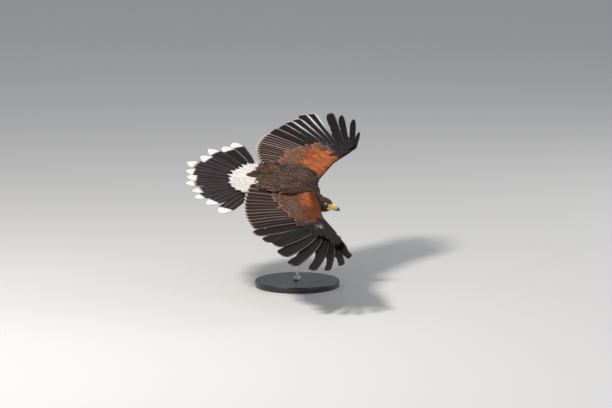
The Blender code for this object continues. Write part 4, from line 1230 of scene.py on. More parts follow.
def make_coverts(side):
    """All the rows on one wing, from the leading edge back."""
    step = np.linspace(0.02, 0.98, 30)
    long = np.interp(step, (0.0, 0.3, 0.55, 1.0), GREATER_LENGTHS[side]) * (1 + 0.06 * draw.normal(size=30))
    covert_row(
        "greater_coverts", side, 1, 0.02, step, long, 0.027, 0.0006, 0.0014, (12, 7), covert_finish,
        profile=(0.3, 0.4, 0.32),
    )
    s, t = lattice(4, 32, 0.2)
    covert_row(
        "median_coverts", side, 1, -0.24 + 0.42 * s, t, 0.036 + 0.016 * s, 0.0195 + 0.004 * s, 0.001, 0.0022,
        (9, 5), covert_finish, profile=(0.35, 0.4, 0.5),
    )
    s, t = lattice(17, 74, 0.22)
    covert_row(
        "lesser_coverts", side, 1, -1.0 + 0.945 * s**1.35, t, 0.01 + 0.011 * s, 0.0075 + 0.006 * s, 0.0016,
        0.0014, (6, 5), plume,
    )
    covert_row(
        "under_greater", side, -1, 0.02, np.linspace(0.02, 0.98, 32), 0.066, 0.027, 0.001, 0.0016, (10, 5),
        remex_finish, -0.0004,
    )
    s, t = lattice(14, 50, 0.2)
    covert_row(
        "under_lesser", side, -1, -1.0 + 1.07 * s**1.3, t, 0.014 + 0.02 * s, 0.011 + 0.009 * s, 0.0016,
        0.001, (6, 5), plume,
    )


for wing_side in SIDES:
    make_coverts(wing_side)

# %% [markdown]
# ## The body's coat
# Body feathers are small, soft and close. Their roots are set in staggered rows on each tube,
# moved onto the skin, and each blade follows the skin along the lie of the coat: back from
# the bill over head, neck and body to the tail. Roots that end inside another part are left out.

# %% Body coat
def coat_on_skin(name, roots, lie, length, width, lift, base, detail, cells, colour_at, near=0.007):
    """Blades that follow the skin from their roots along the lie of the coat.

    A root that the skin has moved further than near lies inside another part, and is left out.
    """
    stations, columns = detail
    place, out = on_skin(roots)
    keep = np.linalg.norm(place - roots, axis=1) < near
    place, out, lie, length, width, cells = (rows[keep] for rows in (place, out, lie, length, width, cells))
    side = unit(np.cross(lie, out))
    down = np.cross(out, side)
    a = steps(stations)
    b = np.linspace(-1.0, 1.0, columns)
    half = (width / 2)[:, None] * outline(a, 0.5, 0.4, 0.55)[None]
    flat = place[:, None, None] + down[:, None, None] * (length[:, None] * a)[:, :, None, None]
    flat = flat + side[:, None, None] * (half[..., None] * b)[..., None]
    sheet, normal = on_skin(flat)
    height = base + lift * a[None, :, None] ** 1.5 + 0.07 * width[:, None, None] * (1 - b**2)
    sheet = sheet + normal * height[..., None]
    colour, fringe = colour_at(place, out)
    tone = (0.76 + 0.48 * draw.random(len(place)))[:, None]
    return blade_mesh(name, sheet, normal, 0.0004, colour * tone, fringe * tone, cells)


def tube_roots(line, rows, columns, power=2.2, jitter=0.22, inset=COAT_DEPTH):
    """Staggered roots on a tube, the way along it there, their bake cells, and their shares along it."""
    s, t = lattice(rows, columns, jitter)
    after, here, before = (
        tube_surface(line, np.clip(s + shift, 0.0, 1.0), t, power, inset) for shift in (0.01, 0.0, -0.01)
    )
    return here, unit(after - before), pack(0.02 + 0.96 * t, 0.02 + 0.96 * s), s


def coat_tube(name, line, rows, columns, length, width, lift, base, colour_at, detail=(5, 3), **spacing):
    """The coat of one tube, lying back along it. length and width are pairs: at its first and last row."""
    roots, forward, cells, s = tube_roots(line, rows, columns, **spacing)
    length, width = (np.interp(s, (0.0, 1.0), pair) for pair in (length, width))
    return coat_on_skin(name, roots, -forward, length, width, lift, base, detail, cells, colour_at)


def body_colours(place, out):
    """The markings, with fringes that are tan above and not seen on white."""
    colour = markings(place, out[:, 2])
    upper = ramp(out[:, 2], -0.1, 0.3)
    white = ramp(colour.mean(axis=1), 0.2, 0.4)
    return colour, blend(blend(colour * 1.4, TAN, 0.2 + 0.28 * upper), colour, white)


def head_colours(place, out):
    """The markings, with tan fringes on a little less than half the feathers, which streak the head."""
    colour = markings(place, out[:, 2])
    streak = (draw.random(len(place)) > 0.55)[:, None]
    # Partly painted highlight: the tan streaks are the feathers' own, but they are stronger on feathers that face
    # up, which lightens the crown.
    tan_and_crown_highlight = 0.3 + 0.32 * ramp(out[:, 2], -0.1, 0.5)
    return colour, np.where(streak, blend(colour, TAN, tan_and_crown_highlight), colour * 1.5)


def thigh_colours(place, out):
    """Plain dark rust."""
    return [np.tile(colour, (len(place), 1)) for colour in (CHESTNUT * 1.25, RUST * 0.7)]


coat_tube(
    "coat_torso", TORSO_LINE, 44, 60, (0.024, 0.016), (0.014, 0.011), 0.0022, 0.001, body_colours, (5, 5),
    jitter=0.45,
)
coat_tube(
    "coat_neck", NECK_LINE, 28, 46, (0.015, 0.01), (0.0085, 0.0055), 0.0016, 0.0008, head_colours,
    inset=COAT_DEPTH * 0.8,
)
for leg_side, sign in SIDES.items():
    coat_tube(
        "coat_thigh_" + leg_side, both_sides(THIGH_LINE, sign), 26, 30, (0.018, 0.014), (0.009, 0.009),
        0.0018, 0.0008, thigh_colours, power=2.0,
    )

# %% [markdown]
# ## Scapulars and tail coverts
# Two tracts bridge the joints of the body. The scapulars lie from the shoulders back over the roots of
# the wings, so that no gap opens between wing and back. The tail coverts lie over and under the
# roots of the tail, and in this species both are white.

# %% Bridging feathers
def free_blades(name, axes, width, profile, columns, colour, fringe, cells, step=0.0006, flip=False,
                lean=1.0):
    """Blades on shafts given point by point, (feathers, stations, 3), tipped across by step times lean."""
    stations = axes.shape[1]
    half = (width / 2)[:, None] * outline(steps(stations), *profile)[None]
    along = unit(np.gradient(axes, axis=1))
    across = unit(np.cross((0.0, 0.0, 1.0), along))
    up = np.cross(along, across)
    b = np.linspace(-1.0, 1.0, columns)
    way = across + up * (step / (width / 2) * lean)[:, None, None]
    sheet = axes[:, :, None] + way[:, :, None] * (half[..., None] * b)[..., None]
    sheet = sheet + up[:, :, None] * (0.06 * width[:, None, None] * (1 - b**2))[..., None]
    out = np.broadcast_to(up[:, :, None], sheet.shape)
    return blade_mesh(name, sheet, out, 0.0006, colour, fringe, cells, flip=flip)


def wing_sheets(face):
    """Both wings' faces in one helper mesh, out by the coverts' thickness, for finding heights."""
    rows, columns = 50, 67
    back, across = np.meshgrid(np.linspace(-0.98, 0.98, rows), steps(columns), indexing="ij")
    sheets = [wing_faces[side, face](back, across) + (0.0, 0.0, 0.003 * face) for side in SIDES]
    faces = grid_faces(rows, columns, closed=False)[0]
    points = np.concatenate([sheet.reshape(-1, 3) for sheet in sheets])
    return make_mesh("wing_ground", points, [faces, faces + rows * columns], world=True)


wing_ground = {face: wing_sheets(face) for face in (1, -1)}


def height_at(x, y, face):
    """Heights of the skin or the wing, whichever is met first from straight above (face 1) or below (-1)."""
    points = pack(x, y, 0.16 * face)
    probe, wrap = make_probe(points)
    wrap.auxiliary_target = wing_ground[face]
    wrap.wrap_method = "PROJECT"
    wrap.use_project_z = True
    wrap.use_negative_direction, wrap.use_positive_direction = face > 0, face < 0
    high = probe_points(probe, points.shape)[..., 2]
    remove_helper(probe)
    return np.where(np.abs(high) > 0.13, np.interp(points[..., 0], (-0.2, -0.12), (0.016, 0.006)), high)


def lay_over(name, face, s, t, x, y, turn, length, width, base, tint=BROWN):
    """Feathers that start at x and y and run back, turned outwards by the share turn of their length.

    A feather's heights are those of the ground below it, smoothed along it with weights 1, 2, 1: at first
    only raised, and then lowered as well by up to 2 mm a round.
    """
    v = steps(8)
    along_x = x[:, None] - length[:, None] * v
    along_y = y[:, None] + (turn * length)[:, None] * v
    high = height_at(along_x, along_y, face) * face
    for most_drop in (0.0,) * 4 + (0.002,) * 3:
        inside = (high[:, :-2] + 2 * high[:, 1:-1] + high[:, 2:]) / 4
        high[:, 1:-1] = np.maximum(inside, high[:, 1:-1] - most_drop)
    high = (high + base + 0.003 * v**1.5) * face
    axes = pack(along_x, along_y, high)
    count = len(s)
    colour = blend(tint, TAN * 0.5, 0.34 * draw.random(count) ** 2)
    colour = colour * (0.5 + 0.95 * draw.random(count))[:, None]
    fringe = blend(colour, TAN, 0.25 + 0.6 * draw.random(count))
    cells = pack(0.04 + 0.92 * s, 0.04 + 0.92 * t)
    width = np.broadcast_to(width, count)
    return free_blades(name, axes, width, (0.4, 0.4, 0.5), 5, colour, fringe, cells, step=0.0006 * face)


def make_scapulars(side):
    """Staggered rows from the shoulder back to the innermost flight feathers, longer behind and outside."""
    sign = SIDES[side]
    s, t = lattice(15, 9, 0.42)
    x = 0.052 - 0.15 * s
    y = (0.004 + 0.074 * t) * (1 - 0.2 * s) * (0.64 + 0.36 * ramp(s, 0.0, 0.3))
    turn = (0.06 + 0.62 * t) * (1 - 0.45 * s) - 0.1 * s
    length = 0.028 + 0.022 * s + 0.012 * t
    length = np.minimum(length, x + np.where(t * sign < 0.1, 0.124, 0.138))
    width = 0.0165 + 0.0085 * s
    return lay_over("scapulars_" + side, 1, s, t, x, sign * y, sign * turn, length, width, 0.0016)


def make_axillars(side):
    """Soft dark feathers of the armpit, which close the corner between flank and wing from below."""
    sign = SIDES[side]
    s, t = lattice(9, 8, 0.22)
    x, y = 0.03 - 0.125 * s, sign * (0.062 + 0.04 * t)
    turn, length = sign * (0.06 + 0.2 * t), 0.03 + 0.014 * s
    return lay_over("axillars_" + side, -1, s, t, x, y, turn, length, 0.016, 0.0016, CHESTNUT * 0.55)


def make_rump():
    """The brown feathers of the lower back, whose ragged ends lie over the white."""
    s, t = lattice(10, 14, 0.45)
    x = -0.07 - 0.046 * s + 0.006 * draw.normal(size=len(s))
    y = (2 * t - 1) * (0.058 - 0.012 * s)
    length = 0.022 + 0.008 * draw.random(len(s))
    length = np.minimum(length, np.maximum(x + np.interp(y, (-0.03, -0.012), (0.112, 0.146)), 0.006))
    base = 0.0022 + 0.0016 * s[:, None]
    return lay_over("rump", 1, s, t, x, y, 0.25 * (2 * t - 1), length, 0.0115, base)


def make_tail_coverts(name, face, rows):
    """Rows fanned from the tail's pivot: count, start, reach, height and width of each.

    The short upper ones left of the middle are brown and cut back, where the brown of the rump notches the
    white.
    """
    shafts, widths, tints = [], [], []
    v = steps(9)
    for count, start, reach, height, width in rows:
        t = (np.arange(count) + 0.5) / count
        angle = (-TAIL_RIGHT + (TAIL_LEFT + TAIL_RIGHT) * t) * 1.02 + (0.14 * t**3 if face > 0 else 0.0)
        along = pack(-np.cos(angle), np.sin(angle), 0.0)
        end = reach * (1 + 0.05 * draw.normal(size=count)).clip(0.85, 1.15)
        aside = end * np.sin(angle)
        notch = (aside > 0.008) & (aside < 0.074) & (reach < 0.07) & (face > 0)
        end = np.where(notch, end * 0.86, end)
        run = start + (end - start)[:, None] * v
        axes = TAIL_PIVOT + along[:, None] * run[..., None]
        axes[..., 2] += face * (height + 0.0022 * np.sin(np.pi * v * 0.5)) + 0.01 * np.clip(run / 0.2, 0, 1)
        axes[..., 2] += 0.0004 * (np.arange(count) % 2)[:, None]
        shafts.append(axes)
        widths.append(np.full(count, width))
        tint = np.where(notch[:, None], BROWN * 1.1, WHITE)
        tints.append(tint * (0.9 + 0.14 * draw.random(count))[:, None])
    axes, width, colour = (np.concatenate(arrays) for arrays in (shafts, widths, tints))
    fringe = np.where(colour[:, :1] < 0.3, blend(colour, TAN, 0.55), colour * 0.98)
    lean = np.sign(-axes[:, -1, 1]) * face
    cells = pack(0.5 + 2.0 * axes[:, 0, 1], 0.1 - 3.0 * (axes[:, 0, 0] + 0.11))
    profile = (0.5, 0.4, 0.7)
    return free_blades(name, axes, width, profile, 5, colour, fringe, cells, flip=face < 0, lean=lean)


def make_alula(side):
    """The thumb's four small quills, which lie along the leading edge of the hand over its coverts."""
    wrist, along, _ = hand_frame(side)
    index = np.arange(4.0)[:, None, None]
    v = steps(12)[None, :, None]
    start = wrist + (-0.01, 0.002, 0.0085) + index * (-0.0045, -0.001, 0.0005)
    lean = along + (-0.1, 0.0, 0.02) + index * (-0.06, 0.0, -0.005)
    axes = start + lean * (0.062 - 0.009 * index) * v - np.array((0.0, 0.0, 0.004)) * v**2
    colour = np.tile(BLACKISH * 1.3, (4, 1)) * (0.9 + 0.2 * draw.random(4))[:, None]
    cells = pack(0.3 + 0.1 * np.arange(4), 0.5)
    return free_blades(
        "alula_" + side, axes * (1.0, SIDES[side], 1.0), np.full(4, 0.015), (0.4, 0.4, 0.35), 7, colour,
        colour * 6.0, cells, step=0.001 * SIDES[side],
    )


for wing_side in SIDES:
    make_scapulars(wing_side)
    make_axillars(wing_side)
    make_alula(wing_side)
make_rump()
make_tail_coverts("uppertail_coverts", 1, (
    (33, 0.034, 0.11, 0.0046, 0.016), (30, 0.028, 0.096, 0.0058, 0.0155),
    (27, 0.022, 0.082, 0.007, 0.015), (24, 0.014, 0.066, 0.0082, 0.0145),
))
make_tail_coverts("undertail_coverts", -1, (
    (33, 0.03, 0.125, 0.0046, 0.015), (30, 0.024, 0.112, 0.0064, 0.015),
    (27, 0.016, 0.098, 0.0084, 0.0145), (24, 0.008, 0.084, 0.0106, 0.014),
    (20, 0.0, 0.068, 0.013, 0.014),
))

# %% [markdown]
# ## The head
# The head gets the closest work. Its coat is the finest, parted round the eye and round the bare yellow
# skin between eye and bill, which is a fine surface of its own.

# %% Head coat
EYE_PLACE = np.array((0.001, 0.015, -0.0005))
EYE_RADIUS, LID_RADIUS = 0.0068, 0.0062


def bare_share(local):
    """How much of a place in head axes is bare skin: the lores, from eye to bill and down to the gape."""
    x, z = local[..., 0], local[..., 2]
    return ramp(x, 0.0072, 0.01) * ramp(z, -0.018, -0.0155) * (1 - ramp(z, 0.001, 0.003))


def make_head_coat():
    """The finest coat, shorter towards the bill, and parted round the eye and the bare skin."""
    roots, forward, cells, s = tube_roots(HEAD_LINE, 46, 60, jitter=0.25, inset=HEAD_COAT_DEPTH)
    eye = np.linalg.norm((roots - EYE_PLACE)[:, [0, 2]], axis=1)
    clear = (eye > 0.0082) & (bare_share(roots) < 0.5) & (roots[:, 0] < 0.0215)
    roots, forward, cells, s = (rows[clear] for rows in (roots, forward, cells, s))
    shorter = ramp(s, 0.2, 0.75)
    return coat_on_skin(
        "coat_head", from_head(roots), -forward @ HEAD_TURN.T, 0.0095 - 0.005 * shorter,
        0.005 - 0.0024 * shorter, 0.001, 0.0004, (5, 3), cells, head_colours, near=0.004,
    )


make_head_coat()

# %% [markdown]
# ## Finishes of the head
# Bare skin is yellow, mottled and pebbled, and takes another colour where the mesh says that a place is
# covered: dark down on the face, and painted shadow in the nostrils. Horn goes from blue-grey to black by
# a value on the mesh, and the eye is coloured in rings.

# %% Head finishes
YELLOW, ORANGE = (1.0, 0.73, 0.22), (0.9, 0.56, 0.11)


def bare_finish(name, cover_or_shadow=None, roughness=0.42):
    """Bare skin, mottled by soft noise and pebbled by small cells, and given a second colour where the mesh is
    black.
    """
    finish = Finish(
        name, Roughness=roughness, Subsurface_Weight=0.08, Subsurface_Scale=0.002, Specular_IOR_Level=0.45
    )
    place = finish.place()
    cells = finish.cell_edges(place, 900.0)
    tone = finish.mix(finish.noise(place, 260.0, 3.0).step(0.3, 0.75), YELLOW, ORANGE)
    tone = finish.mix(cells.step(0.0, 0.12) * 0.5 + 0.5, ORANGE, tone)
    if cover_or_shadow:
        tone = finish.mix(finish.amount("Plumage"), cover_or_shadow, tone)
    return finish.set(Base_Color=tone, Normal=finish.bump(cells.step(0.0, 0.25), 0.0003, 0.35))


def make_horn():
    """Horn: blue-grey at its base, darkening to black at the point, with a fine grain and a hard gloss."""
    finish = Finish("horn", Roughness=0.22, Coat_Weight=0.35, Coat_Roughness=0.12)
    grain = finish.noise(finish.place(), 700.0, 3.0)
    pale = (finish.amount("Plumage") + (grain - 0.5) * 0.25).step(0.1, 0.9)
    tone = finish.mix(pale, (0.012, 0.013, 0.016), (0.46, 0.5, 0.56))
    return finish.set(Base_Color=tone, Roughness=grain * 0.15 + 0.16, Normal=finish.bump(grain, 0.0002, 0.15))


def make_eye():
    """A brown iris, darker at its rim, and a round black pupil, by the angle from the eye's axis in v."""
    finish = Finish("eye", Roughness=0.1, Coat_Weight=1.0, Coat_Roughness=0.02, Specular_IOR_Level=0.6)
    u, v, _ = finish.split(finish.out(finish.node("ShaderNodeUVMap", {"uv_map": "Round"}), "UV"))
    rays = finish.noise(finish.join(u * 60.0, v * 3.0, 0.0), 1.0, 3.0)
    iris = finish.mix(rays, (0.03, 0.012, 0.006), (0.085, 0.032, 0.013))
    iris = finish.mix(v.step(0.24, 0.31), iris, (0.01, 0.006, 0.005))
    return finish.set(Base_Color=finish.mix(1.0 - v.step(0.135, 0.155), iris, (0.002, 0.002, 0.002)))


bare, horn, eye_finish = bare_finish("bare_skin"), make_horn(), make_eye()
face_finish = bare_finish("face_skin", tuple(HEAD_BROWN * 0.7))
# The cere's second colour is near-black: painted shadow in the nostril holes.
cere_finish = bare_finish("cere_yellow", (0.02, 0.012, 0.008), 0.36)
print("finishes so far:", len(bpy.data.materials))

# %% [markdown]
# ## Face, eyes and lids
# The bare face is a finer copy of the head's tube with a hollow for the eye. Each eye is a ball, and its
# lid is a ring that follows the ball and then the cheek. Its opening is a little flat above.

# %% Face, eyes and lids
def make_face():
    """The front of the head's tube, sunk a little round the eye and swollen a little on the lores.

    Each change is a height times exp of minus the squared distance over the squared reach.
    """
    rows, columns = 90, 120
    s = np.linspace(0.5, 1.0, rows)[:, None]
    base = tube_surface(HEAD_LINE, s, circle(columns) / math.tau)
    centre = smooth_rows(HEAD_LINE, np.broadcast_to(s, (rows, columns)))[..., :3]
    flat = base * np.where(base[..., 1:2] >= 0, (1.0, 1.0, 1.0), (1.0, -1.0, 1.0))
    socket = np.exp(-((np.linalg.norm((flat - EYE_PLACE)[..., [0, 2]], axis=-1) / 0.0075) ** 2))
    lores = np.exp(-(((flat[..., 0] - 0.0115) / 0.0045) ** 2) - ((flat[..., 2] + 0.003) / 0.004) ** 2)
    height = -0.0004 - 0.0015 * socket * (flat[..., 1] > 0.006) + 0.0003 * lores
    points = base + unit(base - centre) * height[..., None]
    face = shell("face", from_head(points), colours={"Plumage": bare_share(points)})
    return finish_piece(face, face_finish, "bare_yellow")


def ball_points(rows, columns):
    """Unit sphere about +Z: angle from the axis along the first index, turn about it along the second."""
    angle = np.linspace(0.02, math.pi - 0.02, rows)[:, None]
    turn = circle(columns)[None]
    return pack(np.sin(angle) * np.cos(turn), np.sin(angle) * np.sin(turn), np.cos(angle))


def frame_about(axis):
    """Three unit vectors, the last one the axis, for turning a shape made about +Z."""
    side = unit(np.cross((0.0, 0.0, 1.0), axis))
    return np.stack([side, np.cross(axis, side), axis])


def make_eyes(side):
    """A round ball, and a two-lipped lid that narrows to the front and rear corners.

    The lid's rings run from behind the opening's edge over the ball and out on to the cheek. Its lip is a
    swelling near the edge, and a second sheet below the first closes it.
    """
    sign = SIDES[side]
    place = EYE_PLACE * (1.0, sign, 1.0)
    axes = frame_about(unit(np.array((0.25, sign, 0.0))))
    rows, columns = 40, 56
    around = pack(np.arange(columns) / columns, steps(rows)[:, None])
    ball = from_head(place + EYE_RADIUS * ball_points(rows, columns) @ axes)
    eye = shell("eyeball_" + side, ball, maps={"Round": around})
    finish_piece(eye, eye_finish, "eye", "eye_" + side)
    turn = circle(96)[:, None]
    flat, tall = np.cos(turn), np.sin(turn)
    narrow = 0.2 * np.maximum(tall, 0) ** 2 + 0.06 * np.minimum(tall, 0) ** 2
    opening = LID_RADIUS * (0.93 + 0.1 * flat**2 - narrow)
    step = steps(16)[None]
    reach = opening + (0.01 - opening) * step**1.3
    ball_rise = np.sqrt(np.maximum(EYE_RADIUS**2 - reach**2, 0.0))
    lip = 0.00045 * np.exp(-(((step - 0.08) / 0.09) ** 2))
    cheek = 0.0012 - 0.1 * (reach - LID_RADIUS)
    rise = np.maximum(ball_rise, cheek) + 0.00035 + lip - 0.0016 * ramp(step, 0.45, 1.0)
    edge = pack(opening * 0.97 * flat, opening * 0.97 * tall, ball_rise[:, :1] - 0.0006)
    local = np.concatenate([edge, pack(reach * flat, reach * tall, rise)], axis=1)
    local = np.concatenate([local, local[:, ::-1] - (0.0, 0.0, 0.0006)], axis=1)
    rings = grid_faces(97, 34)[0] % (96 * 34)
    rear = np.maximum(flat * sign, 0.0) ** 0.7
    rim = 1 - ramp(np.concatenate([step[:, :1], step], axis=1), 0.1 + 0.45 * rear, 0.17 + 0.62 * rear)
    rim = np.concatenate([rim, rim[:, ::-1]], axis=1) * 0.62
    lid = make_mesh("lid_" + side, from_head(place + local @ axes), [rings], colours={"Plumage": rim})
    return finish_piece(outward(lid), face_finish, "bare_yellow")


make_face()
for eye_side in SIDES:
    make_eyes(eye_side)
print("eyes at", (from_head(EYE_PLACE)).round(4))

# %% [markdown]
# ## Brows and bristles
# A bony shelf over each eye gives a hawk its stern look. It is a short swollen tube under its own rows of
# tiny feathers. Black bristles grow on the bare skin between eye and bill, and each is a very
# narrow blade.

# %% Brows and bristles
BROW_PATH = (
    (-0.0125, 0.0148, 0.0052), (-0.005, 0.0178, 0.0074), (0.0025, 0.0184, 0.007), (0.0085, 0.0152, 0.0054),
    (0.0122, 0.0122, 0.004),
)
BROW_RADII = (0.0006, 0.0021, 0.0023, 0.0015, 0.0004)


def straight_blades(name, root, lie, out, length, width, rise, detail, colour, fringe):
    """Blades in head axes that leave along lie and rise along out by rise times the squared share."""
    stations, columns = detail
    side = unit(np.cross(lie, out))
    out = np.cross(side, lie)
    a = steps(stations)
    b = np.linspace(-1.0, 1.0, columns)
    half = width / 2 * outline(a, 0.5, 0.35, 0.6)
    sheet = root[:, None, None] + lie[:, None, None] * (length[:, None] * a)[:, :, None, None]
    sheet = sheet + side[:, None, None] * (half[:, None] * b)[..., None]
    sheet = sheet + out[:, None, None] * (rise * a**2)[:, None, None]
    normal = np.broadcast_to((out @ HEAD_TURN.T)[:, None, None], sheet.shape)
    cells = pack(0.5 + 20 * root[:, 1], 0.5 + 20 * root[:, 0])
    return blade_mesh(name, from_head(sheet), normal, 0.00025, colour, fringe, cells)


def make_brow(side):
    """The tube, and five rows of feathers round its upper and outer half, lying back along it."""
    mirror = (1.0, SIDES[side], 1.0)
    radii = np.array(BROW_RADII)[:, None]
    v = steps(40)
    rings = tube_along(smooth_rows(BROW_PATH, v) * mirror, smooth_rows(radii, v), 20)
    brow = shell("brow_" + side, from_head(rings), colours={"Plumage": np.zeros(rings.shape[:2])})
    finish_piece(brow, face_finish, "bare_yellow")
    rows = np.radians((-20.0, 12.0, 44.0, 76.0, 108.0))
    place, angle = np.meshgrid(np.linspace(0.06, 0.97, 17), rows, indexing="ij")
    place = (place + 0.012 * draw.normal(size=place.shape)).ravel()
    angle = (angle + 0.12 * draw.normal(size=angle.shape)).ravel()
    out = pack(0.0, np.cos(angle), np.sin(angle))
    root = smooth_rows(BROW_PATH, place) + out * smooth_rows(radii, place)
    back = smooth_rows(BROW_PATH, place - 0.05) - smooth_rows(BROW_PATH, place + 0.05)
    lie = unit(back * mirror + (-0.002, 0.0, 0.0))
    colour = HEAD_BROWN * (0.6 + 0.5 * draw.random(len(place)))[:, None]
    return straight_blades(
        "brow_feathers_" + side, root * mirror, lie, out * mirror, np.full(len(place), 0.005), 0.0024,
        0.0001, (5, 3), colour, blend(colour, TAN, 0.25),
    )


def make_bristles(side):
    """Fine bristles that spring forward and outward from the lores."""
    sign = SIDES[side]
    count = 22
    x = draw.uniform(0.0095, 0.0195, count)
    z = draw.uniform(-0.0125, 0.001, count)
    ahead = [row[0] for row in HEAD_LINE]
    row = smooth_rows(HEAD_LINE, np.interp(x, ahead, steps(len(HEAD_LINE))))
    high = (z - row[:, 2]) / row[:, 4]
    share = np.clip(np.abs(high), 0.0, 0.98)
    y = sign * (row[:, 3] * (1 - share**2.2) ** (1 / 2.2) - 0.0006)
    out = unit(pack(0.25, sign, 0.3 * high))
    forward, down = 1.0 + 0.3 * draw.normal(size=count), -0.2 + 0.16 * draw.normal(size=count)
    lie = unit(pack(forward, 0.42 * sign, down))
    black = np.tile(BLACKISH * 2.5, (count, 1))
    return straight_blades(
        "bristles_" + side, pack(x, y, z), lie, out, draw.uniform(0.0025, 0.0045, count), 0.00012, 0.0006,
        (4, 3), black, black,
    )


# %% [markdown]
# ## The bill
# The cere is a soft yellow saddle with the nostrils in it, and the horn begins at its edge, blue-grey,
# and hooks down to a black point. Each part is a row of upright ovals, whose tops follow the
# curve of the culmen and whose bottoms follow the cutting edge.

# %% Bill and cere
UPPER_BILL = (
    (0.02, 0.0019, -0.0121, 0.0082),
    (0.0248, 0.0021, -0.0123, 0.0083),
    (0.0295, 0.0018, -0.0125, 0.0078),
    (0.034, 0.0005, -0.0128, 0.0069),
    (0.039, -0.0022, -0.0132, 0.0057),
    (0.0435, -0.0065, -0.0143, 0.0043),
    (0.0469, -0.0119, -0.017, 0.0028),
    (0.0486, -0.0176, -0.0204, 0.0012),
)
LOWER_BILL = (
    (0.02, -0.0127, -0.0178, 0.0074),
    (0.0248, -0.0127, -0.018, 0.0075),
    (0.0312, -0.0129, -0.0179, 0.0065),
    (0.0379, -0.0136, -0.0175, 0.0047),
    (0.043, -0.0147, -0.017, 0.0025),
)
NOSTRIL = np.array((0.0301, 0.0076, -0.0042))


def bill_grid(line, start, rows, columns, end=1.0, swell=0.0):
    """Upright ovals: y is cos times half width, narrowed above, and z goes between the two edges by sin."""
    x, top, bottom, half = smooth_rows(line, np.linspace(start, end, rows)).T[..., None]
    turn = circle(columns)
    y = (half + swell) * np.cos(turn) * (1 - 0.22 * np.maximum(np.sin(turn), 0) ** 2)
    z = (top + bottom) / 2 + np.sin(turn) * ((top - bottom) / 2 + swell)
    return pack(x, y, z)


def make_bill():
    """The cere with a nostril on each side, and the horn above and below, palest at its base."""
    cere = bill_grid(UPPER_BILL, 0.0, 60, 72, 3.05 / 7, swell=0.0003)
    from_nostril = pack(cere[..., 0], np.abs(cere[..., 1]), cere[..., 2]) - NOSTRIL
    hole = np.exp(-((np.linalg.norm(from_nostril / (1.5, 1.6, 0.85), axis=-1) / 0.00125) ** 4))
    lip = np.exp(-(((np.linalg.norm(from_nostril / (1.5, 1.6, 0.9), axis=-1) - 0.0017) / 0.0005) ** 2))
    out = unit((cere - cere.mean(axis=1, keepdims=True)) * (0.0, 1.0, 1.0))
    height = 0.0003 * lip - 0.0022 * hole - 0.0005 * ramp(cere[..., 0], 0.032, 0.0342)
    # The nostril holes are sunk and also painted near-black: painted shadow.
    piece = shell("cere_skin", from_head(cere + out * height[..., None]), colours={"Plumage": 1 - hole})
    finish_piece(piece, cere_finish, "bare_yellow", "cere")
    for part, line, start, rows, columns, dark_from in (
        ("upper", UPPER_BILL, 2.9 / 7, 90, 56, (0.035, 0.0425)),
        ("lower", LOWER_BILL, 0.0, 60, 48, (0.0285, 0.0395)),
    ):
        points = bill_grid(line, start, rows, columns)
        pale = {"Plumage": 1 - ramp(points[..., 0], *dark_from)}
        piece = shell("horn_" + part, from_head(points), colours=pale)
        finish_piece(piece, horn, "horn", "bill_" + part)


make_bill()


def tube_along(path, radii, columns):
    """Rings square to a path: the path plus side times radius times cos plus up times radius times sin.

    radii holds one number for each place on the path, or a row of them round it.
    """
    forward = unit(np.gradient(path, axis=0))
    side = unit(np.cross(forward, (0.013, 0.02, 1.0)))
    up = np.cross(side, forward)
    turn = circle(columns)[:, None]
    radii = np.reshape(radii, (len(path), -1, 1))
    return path[:, None] + radii * (side[:, None] * np.cos(turn) + up[:, None] * np.sin(turn))


def make_gape(side):
    """A soft yellow fold along the line of the mouth, from the bill's edge back to below the eye."""
    t = steps(30)
    y = SIDES[side] * (0.007 + 0.0104 * t**0.75)
    path = pack(0.0295 - 0.0245 * t, y, -0.0126 + 0.0008 * t - 0.0008 * t**3)
    rings = tube_along(path, 0.0009 * np.sqrt(np.maximum(1 - (2 * t - 1) ** 4, 0.02)), 16)
    return finish_piece(shell("gape_" + side, from_head(rings)), bare, "bare_yellow")


for mouth_side in SIDES:
    make_gape(mouth_side)
    make_brow(mouth_side)
    make_bristles(mouth_side)

# %% [markdown]
# ## Legs, feet and claws
# In flight the legs trail under the tail with the toes half closed. The photograph doesn't show
# them, so they follow the species: bright yellow, with broad scutes across the front of the tarsus and
# the top of each toe, rough pads below, and long black claws.

# %% Legs
TARSUS_END = np.array((-0.166, 0.024, -0.047))
KNEE = np.array((-0.096, 0.0272, -0.0607))
SOLE = np.array((-0.004, 0.0, -0.001))
TARSUS_RADIUS, TOE_RADIUS = 0.0043, 0.0034
# A toe's name, its splay in degrees, its length and its claw's length.
TOES = (
    ("inner", -24.0, 0.03, 0.019), ("middle", 0.0, 0.042, 0.018), ("outer", 22.0, 0.031, 0.015),
    ("hind", 168.0, 0.022, 0.021),
)


def scutes(v, count, depth):
    """Overlapping plates along a limb: a saw tooth that rises slowly and drops quickly, count times."""
    phase = (v * count) % 1.0
    return depth * (phase**1.5) * (1 - ramp(phase, 0.88, 1.0))


def curl(length, bend, place):
    """How far a line that bends down evenly has run, length sin(bend t) / bend, and dropped, with 1 - cos."""
    turn = bend * place[:, None]
    return length * np.sin(turn) / bend, length * (1 - np.cos(turn)) / bend


def toe_line(sign, splay, length, place):
    """A toe's middle line, which starts level under the tarsus and curls down by 1.15 rad."""
    turn = math.radians(splay)
    out = np.array((-math.cos(turn), math.sin(turn) * sign, 0.0))
    run, drop = curl(length, 1.15, place)
    return TARSUS_END * (1.0, sign, 1.0) + SOLE + out * run - np.array((0.0, 0.0, 1.0)) * drop


